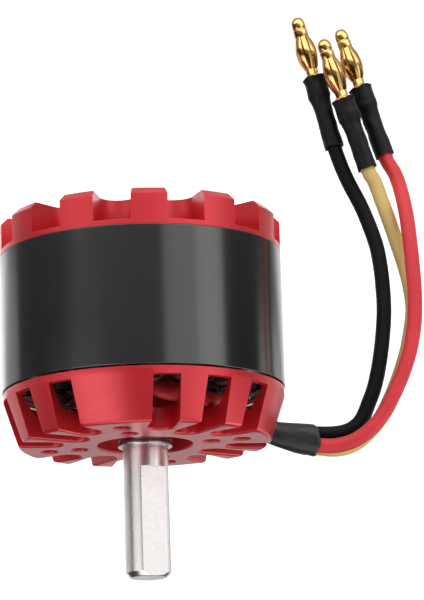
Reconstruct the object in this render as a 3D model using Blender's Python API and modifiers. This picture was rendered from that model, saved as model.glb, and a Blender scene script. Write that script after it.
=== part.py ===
"""Brushless outrunner motor with a 63 mm can and a 10 mm output shaft.

The frame is in metres with +Z along the output shaft. The origin is on the shaft's axis,
in the plane of the mounting face. The stator side (front housing, stator, coils, leads)
stands still. The rotor side (can, magnets, rear bell, shaft) turns about Z.
Angles of the machined patterns are measured from -Y towards -X.
"""
import math

import bmesh
import bpy
from mathutils import Matrix, Vector

# ---------------------------------------------------------------- driving dimensions
GAP = 0.0003                 # clearance kept between pieces that touch
STEPS = 48                   # facets round a large turned piece
SMALL_STEPS = 24             # facets round a small turned piece

BODY_R = 0.0315              # can and rear bell, outside
CAN_BORE_R = 0.0292
CAN_FRONT_Z = -0.01215
CAN_REAR_Z = -0.0427

FACE_R = 0.0280              # mounting face, at the foot of the cone
FACE_CHAMFER = 0.0004
PLATE_T = 0.005              # thickness of the mounting plate
CONE_R = 0.0313              # cone's wide end, and the band behind it
CONE_Z = -0.0100
BAND_Z = -0.01175
WALL_T = 0.0017
RECESS_R = 0.0106            # central recess in the mounting face
RECESS_DEPTH = 0.0035
TUBE_R = 0.0120              # tube that carries the bearings and the stator
TUBE_REAR_Z = -0.0433

PATTERN_ANGLE = -13.0        # first screw land, degrees
PATTERN_STEP = 22.5          # sixteen places: four lands and twelve slots
SLOT_W = 0.0060
SHORT_SLOT_R = 0.0213        # centre of a short slot's round end
LONG_SLOT_R = 0.01785        # centre of a long slot's round end
SCREW_HOLE_R = 0.0020
SCREW_CIRCLES = (0.0150, 0.0220)

BELL_FRONT_Z = -0.0430
BELL_REAR_Z = -0.0513
BELL_CHAMFER = 0.0015
BELL_PLATE_Z = -0.0446       # inner face of the bell's plate
NOTCHES = 12
NOTCH_ANGLE = 19.1           # first notch, degrees
NOTCH_W = 0.0084
NOTCH_END_R = 0.0239         # centre of a notch's round end
NOTCH_FLOOR_Z = -0.0441
SPIGOT_INNER_R = 0.0265      # rim of the bell that sits in the can
SPIGOT_LENGTH = 0.0018
HUB_R = 0.0063               # hub at the rear bearing
HUB_FOOT_R = 0.0075
GROOVE_R = (0.0085, 0.0155)  # shallow groove round the shaft in the bell's rear face
GROOVE_DEPTH = 0.0013
GROOVE_SLOPE = 0.0005
GRUB_NOTCHES = (4, 7)        # notches that a grub screw is reached through
GRUB_R = 0.0020
GRUB_LENGTH = 0.0080
GRUB_Z = -0.0473

SHAFT_R = 0.0050
SHAFT_FRONT_Z = 0.0296
SHAFT_REAR_Z = -0.0535
FLAT_ANGLE = 24.5            # direction that the shaft's flat faces, degrees
FLAT_DISTANCE = 0.0040
FLAT_START_Z = 0.0053

RETAINING_RING_R = 0.00605
RETAINING_RING_Z = (-0.00065, 0.00045)
SPACER_R = 0.0059
SPACER_FRONT_Z = -0.00095

BEARING_R = 0.0095
BEARING_W = 0.0050
BEARING_FRONT_Z = (-0.0038, -0.0383)   # front face of each bearing
BALLS = 8
BALL_R = 0.00085
BALL_CIRCLE_R = 0.00745
INNER_RING_R = 0.0063
SHIELD_R = 0.0068            # bore of a bearing's shield
SHIELD_T = 0.0005
CAGE_T = 0.0006

STATOR_R = 0.0258
STATOR_FRONT_Z = -0.0140
STATOR_REAR_Z = -0.0390
TEETH = 12
TOOTH_W = 0.0046
SLOT_OPENING = 0.0022
YOKE_R = 0.0158
TIP_INNER_R = 0.0243
INSULATOR_T = 0.0008
COIL_INNER_R = 0.0163
COIL_OUTER_R = 0.0238
COIL_FRONT_OVERHANG = 0.0034
COIL_REAR_OVERHANG = 0.0030

MAGNETS = 14
MAGNET_R = (0.0265, 0.0289)
MAGNET_Z = (-0.0132, -0.0402)
MAGNET_ARC = 22.0            # degrees

LEAD_R = 0.0017
LEAD_STEP = 0.0050           # distance between a cord's points
PLUG_LENGTH = 0.0152         # bullet connector beyond its heat shrink
SHRINK_LENGTH = 0.0170
CUP_LENGTH = 0.0060

# Axis of the sleeve round the three leads: x, y, z and radius.
SLEEVE_ROUTE = (
    (-0.0248, 0.0041, -0.0060, 0.0026),
    (-0.0265, 0.0044, -0.0043, 0.0026),
    (-0.0285, 0.0047, -0.0031, 0.0027),
    (-0.0304, 0.0051, -0.0025, 0.0030),
    (-0.0345, 0.0059, -0.0017, 0.0033),
    (-0.0382, 0.0061, -0.0012, 0.0034),
)

# Each free lead's route from the sleeve to its heat shrink, then its plug's shoulder.
LEADS = {
    "black": {
        "route": (
            (-0.0386, 0.0064, -0.0028),
            (-0.0410, 0.0064, -0.0027),
            (-0.0431, 0.0064, -0.0028),
            (-0.0449, 0.0064, -0.0031),
            (-0.0466, 0.0064, -0.0038),
            (-0.0481, 0.0064, -0.0050),
            (-0.0493, 0.0064, -0.0068),
            (-0.0504, 0.0064, -0.0094),
            (-0.0519, 0.0065, -0.0132),
            (-0.0532, 0.0066, -0.0185),
            (-0.0542, 0.0068, -0.0245),
            (-0.0548, 0.0070, -0.0305),
            (-0.0548, 0.0073, -0.0360),
            (-0.0544, 0.0076, -0.0419),
            (-0.0535, 0.0079, -0.0472),
            (-0.0509, 0.0083, -0.0551),
            (-0.0477, 0.0085, -0.0622),
            (-0.0453, 0.0085, -0.0692),
        ),
        "shoulder": (-0.0411, 0.0085, -0.0863),
    },
    "red": {
        "route": (
            (-0.0386, 0.0043, 0.0003),
            (-0.0425, 0.0039, 0.0005),
            (-0.0465, 0.0034, -0.0004),
            (-0.0503, 0.0031, -0.0028),
            (-0.0534, 0.0029, -0.0062),
            (-0.0560, 0.0028, -0.0108),
            (-0.0583, 0.0028, -0.0158),
            (-0.0600, 0.0029, -0.0207),
            (-0.0610, 0.0030, -0.0255),
            (-0.0615, 0.0031, -0.0300),
            (-0.0616, 0.0032, -0.0352),
            (-0.0614, 0.0034, -0.0406),
            (-0.0611, 0.0038, -0.0462),
            (-0.0607, 0.0047, -0.0519),
            (-0.0600, 0.0064, -0.0576),
            (-0.0588, 0.0083, -0.0630),
            (-0.0568, 0.0096, -0.0675),
        ),
        "shoulder": (-0.0518, 0.0100, -0.0840),
    },
    "yellow": {
        "route": (
            (-0.0386, 0.0088, 0.0000),
            (-0.0426, 0.0092, 0.0004),
            (-0.0466, 0.0096, -0.0005),
            (-0.0502, 0.0099, -0.0031),
            (-0.0532, 0.0101, -0.0067),
            (-0.0558, 0.0102, -0.0114),
            (-0.0581, 0.0102, -0.0168),
            (-0.0599, 0.0102, -0.0222),
            (-0.0610, 0.0102, -0.0273),
            (-0.0616, 0.0101, -0.0319),
            (-0.0611, 0.0100, -0.0372),
            (-0.0600, 0.0098, -0.0422),
            (-0.0586, 0.0094, -0.0470),
            (-0.0571, 0.0085, -0.0517),
            (-0.0553, 0.0072, -0.0567),
            (-0.0538, 0.0059, -0.0608),
            (-0.0524, 0.0049, -0.0632),
        ),
        "shoulder": (-0.0474, 0.0043, -0.0797),
    },
}

# Inner end of each phase, between its coil and the sleeve: angle, radius and height.
TAILS = {
    "red": (
        (2.0, 0.0196, -0.0074),
        (16.0, 0.0200, -0.0073),
        (32.0, 0.0204, -0.0072),
        (50.0, 0.0208, -0.0071),
        (70.0, 0.0212, -0.0071),
        (90.0, 0.0215, -0.0071),
    ),
    "black": (
        (52.0, 0.0146, -0.0074),
        (66.0, 0.0150, -0.0072),
        (82.0, 0.0158, -0.0071),
        (97.0, 0.0165, -0.0071),
    ),
    "yellow": (
        (152.0, 0.0192, -0.0074),
        (138.0, 0.0200, -0.0072),
        (124.0, 0.0208, -0.0071),
        (109.0, 0.0214, -0.0071),
    ),
}

FINISHES = {                 # base colour, roughness, metallic
    "red_anodised": ((0.62, 0.02, 0.035, 1.0), 0.38, 0.75),
    "black_can": ((0.012, 0.012, 0.014, 1.0), 0.35, 0.30),
    "ground_steel": ((0.62, 0.60, 0.58, 1.0), 0.32, 1.0),
    "bearing_steel": ((0.55, 0.55, 0.55, 1.0), 0.25, 1.0),
    "electrical_steel": ((0.10, 0.10, 0.11, 1.0), 0.50, 0.6),
    "insulator_black": ((0.02, 0.02, 0.02, 1.0), 0.60, 0.0),
    "varnished_copper": ((0.25, 0.09, 0.04, 1.0), 0.40, 0.8),
    "magnet_nickel": ((0.45, 0.44, 0.42, 1.0), 0.30, 1.0),
    "silicone_black": ((0.015, 0.015, 0.016, 1.0), 0.55, 0.0),
    "silicone_red": ((0.70, 0.02, 0.03, 1.0), 0.50, 0.0),
    "silicone_yellow": ((0.78, 0.62, 0.26, 1.0), 0.50, 0.0),
    "heatshrink_black": ((0.012, 0.012, 0.014, 1.0), 0.50, 0.0),
    "gold_plating": ((0.83, 0.58, 0.22, 1.0), 0.20, 1.0),
    "screw_black": ((0.03, 0.03, 0.03, 1.0), 0.40, 0.8),
}


# ---------------------------------------------------------------- helpers
def clear_scene():
    """Remove the objects that the open file already holds."""
    for obj in list(bpy.data.objects):
        bpy.data.objects.remove(obj, do_unlink=True)


def new_collection(name):
    """Make a collection in the scene and return it."""
    collection = bpy.data.collections.new(name)
    bpy.context.scene.collection.children.link(collection)
    return collection


def finish(name):
    """Return the material of one finish, made on first use."""
    found = bpy.data.materials.get(name)
    if found:
        return found
    colour, roughness, metallic = FINISHES[name]
    made = bpy.data.materials.new(name)
    made.use_nodes = True
    shader = made.node_tree.nodes["Principled BSDF"]
    shader.inputs["Base Color"].default_value = colour
    shader.inputs["Roughness"].default_value = roughness
    shader.inputs["Metallic"].default_value = metallic
    return made


def direction(angle):
    """Unit vector in the XY plane at a pattern angle, in degrees."""
    a = math.radians(angle)
    return Vector((-math.sin(a), -math.cos(a), 0.0))


def turn_to(angle):
    """Rotation about Z that takes +X to a pattern angle."""
    out = direction(angle)
    return math.atan2(out.y, out.x)


def add_part(name, mesh, finish_name, parent):
    """Link a mesh as a named part under a body's empty."""
    obj = bpy.data.objects.new(name, mesh)
    parts.objects.link(obj)
    obj.parent = parent
    if finish_name:
        mesh.materials.append(finish(finish_name))
    return obj


def add_cutter(name, mesh):
    """Link a mesh as a cutter."""
    obj = bpy.data.objects.new(name, mesh)
    cutters.objects.link(obj)
    obj.hide_render = True
    obj.display_type = "WIRE"
    return obj


def add_empty(name):
    """Empty at the origin, on the axis that the rotating pieces share."""
    empty = bpy.data.objects.new(name, None)
    parts.objects.link(empty)
    return empty


def cut(obj, cutter):
    """Take a cutter away from a part."""
    modifier = obj.modifiers.new(cutter.name, "BOOLEAN")
    modifier.operation = "DIFFERENCE"
    modifier.object = cutter


def profile_mesh(name, points, closed):
    """Chain of edges in the XZ plane, ready for the Screw modifier."""
    mesh = bpy.data.meshes.new(name)
    count = len(points)
    edges = [(i, i + 1) for i in range(count - 1)]
    if closed:
        edges.append((count - 1, 0))
    mesh.from_pydata([(x, 0.0, z) for x, z in points], edges, [])
    return mesh


def spin(obj, steps):
    """Turn an object's profile once round its Z axis."""
    screw = obj.modifiers.new("Screw", "SCREW")
    screw.axis = "Z"
    screw.steps = steps
    screw.render_steps = steps
    screw.use_merge_vertices = True
    screw.merge_threshold = 0.00001
    screw.use_smooth_shade = True


def turned(name, points, finish_name, parent, steps=STEPS, closed=True):
    """Turned part from an outline that runs down its outer side."""
    obj = add_part(name, profile_mesh(name, points, closed), finish_name, parent)
    spin(obj, steps)
    return obj


def curve_to_mesh(curve_object):
    """Replace a filled curve by its welded mesh and return the mesh."""
    bpy.context.view_layer.update()
    graph = bpy.context.evaluated_depsgraph_get()
    evaluated = curve_object.evaluated_get(graph)
    mesh = bpy.data.meshes.new_from_object(evaluated)
    curve_data = curve_object.data
    bpy.data.objects.remove(curve_object, do_unlink=True)
    bpy.data.curves.remove(curve_data)
    shape = bmesh.new()
    shape.from_mesh(mesh)
    bmesh.ops.remove_doubles(shape, verts=shape.verts, dist=0.000002)
    bmesh.ops.recalc_face_normals(shape, faces=shape.faces)
    shape.to_mesh(mesh)
    shape.free()
    mesh.materials.clear()
    return mesh


def prism_mesh(name, outlines, low, high):
    """Mesh of flat outlines drawn from height low to height high."""
    curve = bpy.data.curves.new(name, "CURVE")
    curve.dimensions = "2D"
    curve.fill_mode = "BOTH"
    curve.extrude = (high - low) / 2
    for outline in outlines:
        spline = curve.splines.new("POLY")
        spline.points.add(len(outline) - 1)
        for point, (x, y) in zip(spline.points, outline):
            point.co = (x, y, 0.0, 1.0)
        spline.use_cyclic_u = True
    drawn = bpy.data.objects.new(name, curve)
    cutters.objects.link(drawn)
    mesh = curve_to_mesh(drawn)
    mesh.transform(Matrix.Translation((0.0, 0.0, (low + high) / 2)))
    return mesh


def join_meshes(name, meshes):
    """One mesh that holds several separate bodies."""
    shape = bmesh.new()
    for mesh in meshes:
        shape.from_mesh(mesh)
        bpy.data.meshes.remove(mesh)
    joined = bpy.data.meshes.new(name)
    shape.to_mesh(joined)
    shape.free()
    return joined


def round_slot(centre_r, outer_r, width, arc_points=8):
    """Outline along +X with a half-round inner end and an open outer end."""
    half = width / 2
    outline = [(outer_r, -half), (outer_r, half)]
    for i in range(arc_points + 1):
        a = math.pi / 2 + math.pi * i / arc_points
        outline.append((centre_r + half * math.cos(a), half * math.sin(a)))
    return outline


def cylinder_mesh(radius, low, high, segments):
    """Closed cylinder along Z."""
    shape = bmesh.new()
    bmesh.ops.create_cone(
        shape, cap_ends=True, segments=segments, radius1=radius, radius2=radius, depth=high - low
    )
    mesh = bpy.data.meshes.new("cylinder")
    shape.to_mesh(mesh)
    shape.free()
    mesh.transform(Matrix.Translation((0.0, 0.0, (low + high) / 2)))
    return mesh


def box_mesh(name, size, centre):
    """Box of a given size about a centre."""
    shape = bmesh.new()
    bmesh.ops.create_cube(shape, size=1.0)
    bmesh.ops.scale(shape, vec=size, verts=shape.verts)
    bmesh.ops.translate(shape, vec=centre, verts=shape.verts)
    mesh = bpy.data.meshes.new(name)
    shape.to_mesh(mesh)
    shape.free()
    return mesh


def smooth_route(points, step):
    """Evenly spaced points on a Catmull-Rom curve through a route's points."""
    knots = [Vector(p) for p in points]
    ends = [2 * knots[0] - knots[1]] + knots + [2 * knots[-1] - knots[-2]]
    fine = []
    for i in range(len(knots) - 1):
        p0, p1, p2, p3 = ends[i:i + 4]
        for j in range(12):
            t = j / 12
            fine.append(
                0.5 * (2 * p1 + (p2 - p0) * t + (2 * p0 - 5 * p1 + 4 * p2 - p3) * t ** 2
                       + (3 * p1 - 3 * p2 + p3 - p0) * t ** 3)
            )
    fine.append(knots[-1])
    lengths = [0.0]
    for a, b in zip(fine, fine[1:]):
        lengths.append(lengths[-1] + (b - a).length)
    count = max(2, round(lengths[-1] / step))
    spaced = []
    index = 0
    for k in range(count + 1):
        target = lengths[-1] * k / count
        while index < len(fine) - 2 and lengths[index + 1] < target:
            index += 1
        share = (target - lengths[index]) / (lengths[index + 1] - lengths[index])
        spaced.append(fine[index].lerp(fine[index + 1], share))
    return spaced


def tube(name, points, radius, finish_name, parent, radii=None):
    """Round solid along a list of points; radii are shares of its radius."""
    curve = bpy.data.curves.new(name, "CURVE")
    curve.dimensions = "3D"
    curve.bevel_depth = radius
    curve.bevel_resolution = 2
    curve.use_fill_caps = True
    spline = curve.splines.new("POLY")
    spline.points.add(len(points) - 1)
    for i, (point, place) in enumerate(zip(spline.points, points)):
        point.co = (*place, 1.0)
        if radii:
            point.radius = radii[i]
    curve.materials.append(finish(finish_name))
    obj = bpy.data.objects.new(name, curve)
    parts.objects.link(obj)
    obj.parent = parent
    return obj


def aim(obj, place, along):
    """Put an object's origin at a place, with its Z axis along a direction."""
    obj.location = place
    obj.rotation_mode = "QUATERNION"
    obj.rotation_quaternion = Vector(along).to_track_quat("Z", "Y")


# ---------------------------------------------------------------- stator side
def make_front_housing():
    """Mounting plate, slotted cone and bearing tube, machined from one piece."""
    inner_r = CONE_R - WALL_T
    plate_z = -PLATE_T
    neck_r = FACE_R - WALL_T
    seat_r = BEARING_R + GAP
    step_r = BEARING_R - 0.0012
    front_seat_z = BEARING_FRONT_Z[0] - BEARING_W - GAP
    rear_seat_z = BEARING_FRONT_Z[1] + GAP
    outline = [
        (RECESS_R, 0.0),
        (FACE_R - FACE_CHAMFER, 0.0),
        (FACE_R, -FACE_CHAMFER),
        (CONE_R, CONE_Z),
        (CONE_R, BAND_Z),
        (inner_r, BAND_Z),
        (inner_r, CONE_Z + 0.0006),
        (neck_r, plate_z),
        (TUBE_R + 0.0012, plate_z),
        (TUBE_R, plate_z - 0.0012),
        (TUBE_R, TUBE_REAR_Z),
        (seat_r, TUBE_REAR_Z),
        (seat_r, rear_seat_z),
        (step_r, rear_seat_z),
        (step_r, front_seat_z),
        (seat_r, front_seat_z),
        (seat_r, -RECESS_DEPTH),
        (RECESS_R, -RECESS_DEPTH),
    ]
    housing = turned("front_housing", outline, "red_anodised", stator)
    slots = []
    holes = []
    for place in range(16):
        angle = PATTERN_ANGLE + PATTERN_STEP * place
        turn = Matrix.Rotation(turn_to(angle), 4, "Z")
        if place % 4 == 0:
            for radius in SCREW_CIRCLES:
                hole = cylinder_mesh(SCREW_HOLE_R, -0.007, 0.001, 12)
                hole.transform(turn @ Matrix.Translation((radius, 0.0, 0.0)))
                holes.append(hole)
            continue
        end_r = LONG_SLOT_R if place % 4 == 2 else SHORT_SLOT_R
        outline = round_slot(end_r, CONE_R + 0.002, SLOT_W, 6)
        slot = prism_mesh("slot", [outline], CONE_Z, 0.001)
        slot.transform(turn)
        slots.append(slot)
    cut(housing, add_cutter("cut_housing_slots", join_meshes("housing_slots", slots)))
    cut(housing, add_cutter("cut_screw_holes", join_meshes("screw_holes", holes)))


def toothed_outline(tip_r, tip_inner_r, opening):
    """Outline of the stator's twelve T-shaped teeth, anticlockwise."""
    half_tooth = TOOTH_W / 2
    half_tip = math.pi / TEETH - opening / 2 / tip_r
    outline = []
    for tooth in range(TEETH):
        middle = 2 * math.pi * tooth / TEETH
        root = math.asin(half_tooth / YOKE_R)
        neck = math.asin(half_tooth / tip_inner_r)
        corners = [(YOKE_R, -root), (tip_inner_r, -neck), (tip_inner_r + 0.0004, -half_tip)]
        corners += [(tip_r, half_tip * s) for s in (-1.0, -0.33, 0.33, 1.0)]
        corners += [(tip_inner_r + 0.0004, half_tip), (tip_inner_r, neck), (YOKE_R, root)]
        outline += [(r * math.cos(middle + a), r * math.sin(middle + a)) for r, a in corners]
    return outline


def circle_outline(radius, count):
    """Points round a circle."""
    step = 2 * math.pi / count
    return [(radius * math.cos(step * i), radius * math.sin(step * i)) for i in range(count)]


def make_stator_core():
    """Lamination stack, with an insulating end sheet on each side."""
    bore = circle_outline(TUBE_R + GAP, SMALL_STEPS)
    teeth = toothed_outline(STATOR_R, TIP_INNER_R, SLOT_OPENING)
    core = prism_mesh("stator_core", [teeth, bore], STATOR_REAR_Z, STATOR_FRONT_Z)
    add_part("stator_core", core, "electrical_steel", stator)
    sheet = toothed_outline(STATOR_R - 0.0006, TIP_INNER_R - 0.0003, SLOT_OPENING + 0.001)
    front = STATOR_FRONT_Z + GAP
    rear = STATOR_REAR_Z - GAP
    levels = {
        "stator_insulator_front": (front, front + INSULATOR_T),
        "stator_insulator_rear": (rear - INSULATOR_T, rear),
    }
    for name, (low, high) in levels.items():
        add_part(name, prism_mesh(name, [sheet, bore], low, high), "insulator_black", stator)


def coil_mesh():
    """One coil round a tooth that lies along +X: a tapered block with a window."""
    inner_half = TOOTH_W / 2 + GAP
    window_z = (STATOR_FRONT_Z - STATOR_REAR_Z) / 2 + INSULATOR_T + 2 * GAP
    height = 2 * window_z + COIL_FRONT_OVERHANG + COIL_REAR_OVERHANG
    middle_z = (COIL_FRONT_OVERHANG - COIL_REAR_OVERHANG) / 2
    share = math.tan(math.pi / TEETH)
    mesh = box_mesh(
        "coil",
        (COIL_OUTER_R - COIL_INNER_R, 1.0, height),
        ((COIL_OUTER_R + COIL_INNER_R) / 2, 0.0, middle_z),
    )
    for vertex in mesh.vertices:
        half_width = vertex.co.x * share - GAP
        vertex.co.y = math.copysign(half_width, vertex.co.y)
    window = box_mesh("coil_window", (0.030, 2 * inner_half, 2 * window_z), (0.020, 0.0, 0.0))
    return mesh, window


def make_coils():
    """Twelve coils, one round each tooth."""
    middle_z = (STATOR_FRONT_Z + STATOR_REAR_Z) / 2
    for number in range(TEETH):
        mesh, window = coil_mesh()
        turn = Matrix.Rotation(2 * math.pi * number / TEETH, 4, "Z")
        place = Matrix.Translation((0.0, 0.0, middle_z)) @ turn
        coil = add_part(f"coil_{number + 1:02d}", mesh, "varnished_copper", stator)
        coil.matrix_local = place
        bevel = coil.modifiers.new("Bevel", "BEVEL")
        bevel.width = 0.0008
        bevel.segments = 1
        opening = add_cutter(f"cut_coil_{number + 1:02d}", window)
        opening.matrix_local = place
        cut(coil, opening)


def make_bearings():
    """Two shielded ball bearings; their inner rings turn with the shaft."""
    for side, front_z in zip(("front", "rear"), BEARING_FRONT_Z):
        rear_z = front_z - BEARING_W
        race_r = BALL_CIRCLE_R + BALL_R + 0.0002
        outline = [
            (BEARING_R, front_z),
            (BEARING_R, rear_z),
            (SHIELD_R, rear_z),
            (SHIELD_R, rear_z + SHIELD_T),
            (race_r, rear_z + SHIELD_T),
            (race_r, front_z - SHIELD_T),
            (SHIELD_R, front_z - SHIELD_T),
            (SHIELD_R, front_z),
        ]
        name = f"{side}_bearing_outer_ring"
        turned(name, outline, "bearing_steel", stator, SMALL_STEPS)
        ring = [
            (INNER_RING_R, front_z),
            (INNER_RING_R, rear_z),
            (SHAFT_R + GAP, rear_z),
            (SHAFT_R + GAP, front_z),
        ]
        name = f"{side}_bearing_inner_ring"
        turned(name, ring, "bearing_steel", rotor, SMALL_STEPS)
        make_ball_cage(side, (front_z + rear_z) / 2)


def make_ball_cage(side, middle_z):
    """Cage ring with its balls, which rolls between the two rings."""
    empty = add_empty(f"{side}_ball_set")
    half = CAGE_T / 2
    outline = [
        (BALL_CIRCLE_R + half, middle_z + half),
        (BALL_CIRCLE_R + half, middle_z - half),
        (BALL_CIRCLE_R - half, middle_z - half),
        (BALL_CIRCLE_R - half, middle_z + half),
    ]
    cage = turned(f"{side}_ball_cage", outline, "bearing_steel", empty, SMALL_STEPS)
    shape = bmesh.new()
    for number in range(BALLS):
        angle = 2 * math.pi * (number + 0.5) / BALLS
        place = (BALL_CIRCLE_R * math.cos(angle), BALL_CIRCLE_R * math.sin(angle), middle_z)
        bmesh.ops.create_uvsphere(
            shape, u_segments=6, v_segments=4, radius=BALL_R, matrix=Matrix.Translation(place)
        )
    balls = bpy.data.meshes.new(f"{side}_balls")
    shape.to_mesh(balls)
    shape.free()
    joined = cage.modifiers.new("balls", "BOOLEAN")
    joined.operation = "UNION"
    joined.object = add_cutter(f"add_{side}_balls", balls)


# ---------------------------------------------------------------- rotor side
def make_can():
    """Steel flux ring."""
    edge = 0.0003
    lip = 0.0005
    outline = [
        (CAN_BORE_R + lip, CAN_FRONT_Z),
        (BODY_R - edge, CAN_FRONT_Z),
        (BODY_R, CAN_FRONT_Z - edge),
        (BODY_R, CAN_REAR_Z),
        (CAN_BORE_R, CAN_REAR_Z),
        (CAN_BORE_R, CAN_FRONT_Z - lip),
    ]
    turned("rotor_can", outline, "black_can", rotor)


def make_magnets():
    """Fourteen curved magnets on the can's bore."""
    inner_r, outer_r = MAGNET_R
    half = math.radians(MAGNET_ARC) / 2
    pieces = 5
    angles = [-half + 2 * half * i / pieces for i in range(pieces + 1)]
    outline = [(outer_r * math.cos(a), outer_r * math.sin(a)) for a in angles]
    outline += [(inner_r * math.cos(a), inner_r * math.sin(a)) for a in reversed(angles)]
    for number in range(MAGNETS):
        name = f"magnet_{number + 1:02d}"
        mesh = prism_mesh(name, [outline], MAGNET_Z[1], MAGNET_Z[0])
        magnet = add_part(name, mesh, "magnet_nickel", rotor)
        magnet.rotation_euler.z = 2 * math.pi * number / MAGNETS


def make_rear_bell():
    """End bell: a notched plate with a spigot in the can and a hub on the shaft."""
    spigot_r = CAN_BORE_R - GAP
    spigot_z = BELL_FRONT_Z + SPIGOT_LENGTH
    groove_z = BELL_REAR_Z + GROOVE_DEPTH
    bore_r = SHAFT_R + GAP
    hub_z = BEARING_FRONT_Z[1] - BEARING_W - GAP
    outline = [
        (spigot_r, BELL_FRONT_Z),
        (BODY_R, BELL_FRONT_Z),
        (BODY_R, BELL_REAR_Z + BELL_CHAMFER),
        (BODY_R - BELL_CHAMFER, BELL_REAR_Z),
        (GROOVE_R[1], BELL_REAR_Z),
        (GROOVE_R[1] - GROOVE_SLOPE, groove_z),
        (GROOVE_R[0] + GROOVE_SLOPE, groove_z),
        (GROOVE_R[0], BELL_REAR_Z),
        (bore_r, BELL_REAR_Z),
        (bore_r, hub_z),
        (HUB_R, hub_z),
        (HUB_FOOT_R, BELL_PLATE_Z),
        (SPIGOT_INNER_R, BELL_PLATE_Z),
        (SPIGOT_INNER_R, spigot_z),
        (spigot_r, spigot_z),
    ]
    bell = turned("rear_bell", outline, "red_anodised", rotor)
    notches = []
    for number in range(NOTCHES):
        outline = round_slot(NOTCH_END_R, BODY_R + 0.002, NOTCH_W)
        notch = prism_mesh("notch", [outline], BELL_REAR_Z - 0.001, NOTCH_FLOOR_Z)
        turn = turn_to(NOTCH_ANGLE + 360.0 / NOTCHES * number)
        notch.transform(Matrix.Rotation(turn, 4, "Z"))
        notches.append(notch)
    cut(bell, add_cutter("cut_notches", join_meshes("notches", notches)))
    threads = []
    for number in GRUB_NOTCHES:
        thread = cylinder_mesh(GRUB_R + GAP, 0.002, NOTCH_END_R, 12)
        thread.transform(grub_frame(number))
        threads.append(thread)
    cut(bell, add_cutter("cut_grub_threads", join_meshes("grub_threads", threads)))


def grub_frame(notch):
    """Frame of a grub screw: its Z axis points outwards along a notch."""
    turn = Matrix.Rotation(turn_to(NOTCH_ANGLE + 360.0 / NOTCHES * notch), 4, "Z")
    lay_down = Matrix.Rotation(math.pi / 2, 4, "Y")
    return Matrix.Translation((0.0, 0.0, GRUB_Z)) @ turn @ lay_down


def make_grub_screws():
    """Two grub screws that hold the bell to the shaft, each with a hexagon socket."""
    for letter, notch in zip("ab", GRUB_NOTCHES):
        low = SHAFT_R + GAP
        high = low + GRUB_LENGTH
        outline = [
            (0.0, high),
            (GRUB_R - 0.0003, high),
            (GRUB_R, high - 0.0003),
            (GRUB_R, low + 0.0004),
            (GRUB_R - 0.0008, low),
            (0.0, low),
        ]
        name = f"grub_screw_{letter}"
        screw = turned(name, outline, "screw_black", rotor, 12, closed=False)
        screw.matrix_local = grub_frame(notch)
        socket = add_cutter(f"cut_socket_{letter}", cylinder_mesh(0.0011, high - 0.002, high + 0.001, 6))
        socket.matrix_local = grub_frame(notch)
        cut(screw, socket)


def make_shaft():
    """Output shaft with a flat, and the ring and spacer that locate it."""
    chamfer = 0.0010
    rear_chamfer = 0.0006
    outline = [
        (0.0, SHAFT_FRONT_Z),
        (SHAFT_R - chamfer, SHAFT_FRONT_Z),
        (SHAFT_R, SHAFT_FRONT_Z - chamfer),
        (SHAFT_R, SHAFT_REAR_Z + rear_chamfer),
        (SHAFT_R - rear_chamfer, SHAFT_REAR_Z),
        (0.0, SHAFT_REAR_Z),
    ]
    shaft = turned("shaft", outline, "ground_steel", rotor, 36, closed=False)
    length = SHAFT_FRONT_Z + 0.002 - FLAT_START_Z
    block = box_mesh(
        "cut_flat",
        (0.004, 0.012, length),
        (FLAT_DISTANCE + 0.002, 0.0, FLAT_START_Z + length / 2),
    )
    block.transform(Matrix.Rotation(turn_to(FLAT_ANGLE), 4, "Z"))
    cut(shaft, add_cutter("cut_flat", block))
    bore_r = SHAFT_R + GAP
    low, high = RETAINING_RING_Z
    ring = [
        (RETAINING_RING_R, high),
        (RETAINING_RING_R, low),
        (bore_r, low),
        (bore_r, high),
    ]
    turned("retaining_ring", ring, "bearing_steel", rotor, SMALL_STEPS)
    spacer_rear_z = BEARING_FRONT_Z[0] + GAP
    spacer = [
        (SPACER_R, SPACER_FRONT_Z),
        (SPACER_R, spacer_rear_z),
        (bore_r, spacer_rear_z),
        (bore_r, SPACER_FRONT_Z),
    ]
    turned("front_spacer", spacer, "bearing_steel", rotor, SMALL_STEPS)


# ---------------------------------------------------------------- leads
def make_sleeve():
    """Heat-shrink sleeve round the leads where they leave the housing."""
    thickest = max(r for _, _, _, r in SLEEVE_ROUTE)
    points = [(x, y, z) for x, y, z, _ in SLEEVE_ROUTE]
    shares = [r / thickest for _, _, _, r in SLEEVE_ROUTE]
    tube("lead_sleeve", points, thickest, "heatshrink_black", stator, shares)


def make_tails():
    """Inner ends of the phases, between their coils and the sleeve."""
    for colour, places in TAILS.items():
        route = []
        for angle, radius, z in places:
            flat = direction(angle) * radius
            route.append((flat.x, flat.y, z))
        points = smooth_route(route, LEAD_STEP)
        tube(f"phase_tail_{colour}", points, LEAD_R, f"silicone_{colour}", stator)


def make_lead(colour, route, shoulder):
    """One free lead with its heat shrink and its bullet connector."""
    end = Vector(route[-1])
    along = (Vector(shoulder) - end).normalized()
    inside = (Vector(shoulder) - end).length - CUP_LENGTH - GAP
    points = smooth_route(list(route) + [tuple(end + along * inside)], LEAD_STEP)
    tube(f"lead_{colour}", points, LEAD_R, f"silicone_{colour}", stator)
    make_shrink(colour, shoulder, along)
    make_bullet(colour, shoulder, along)


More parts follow.
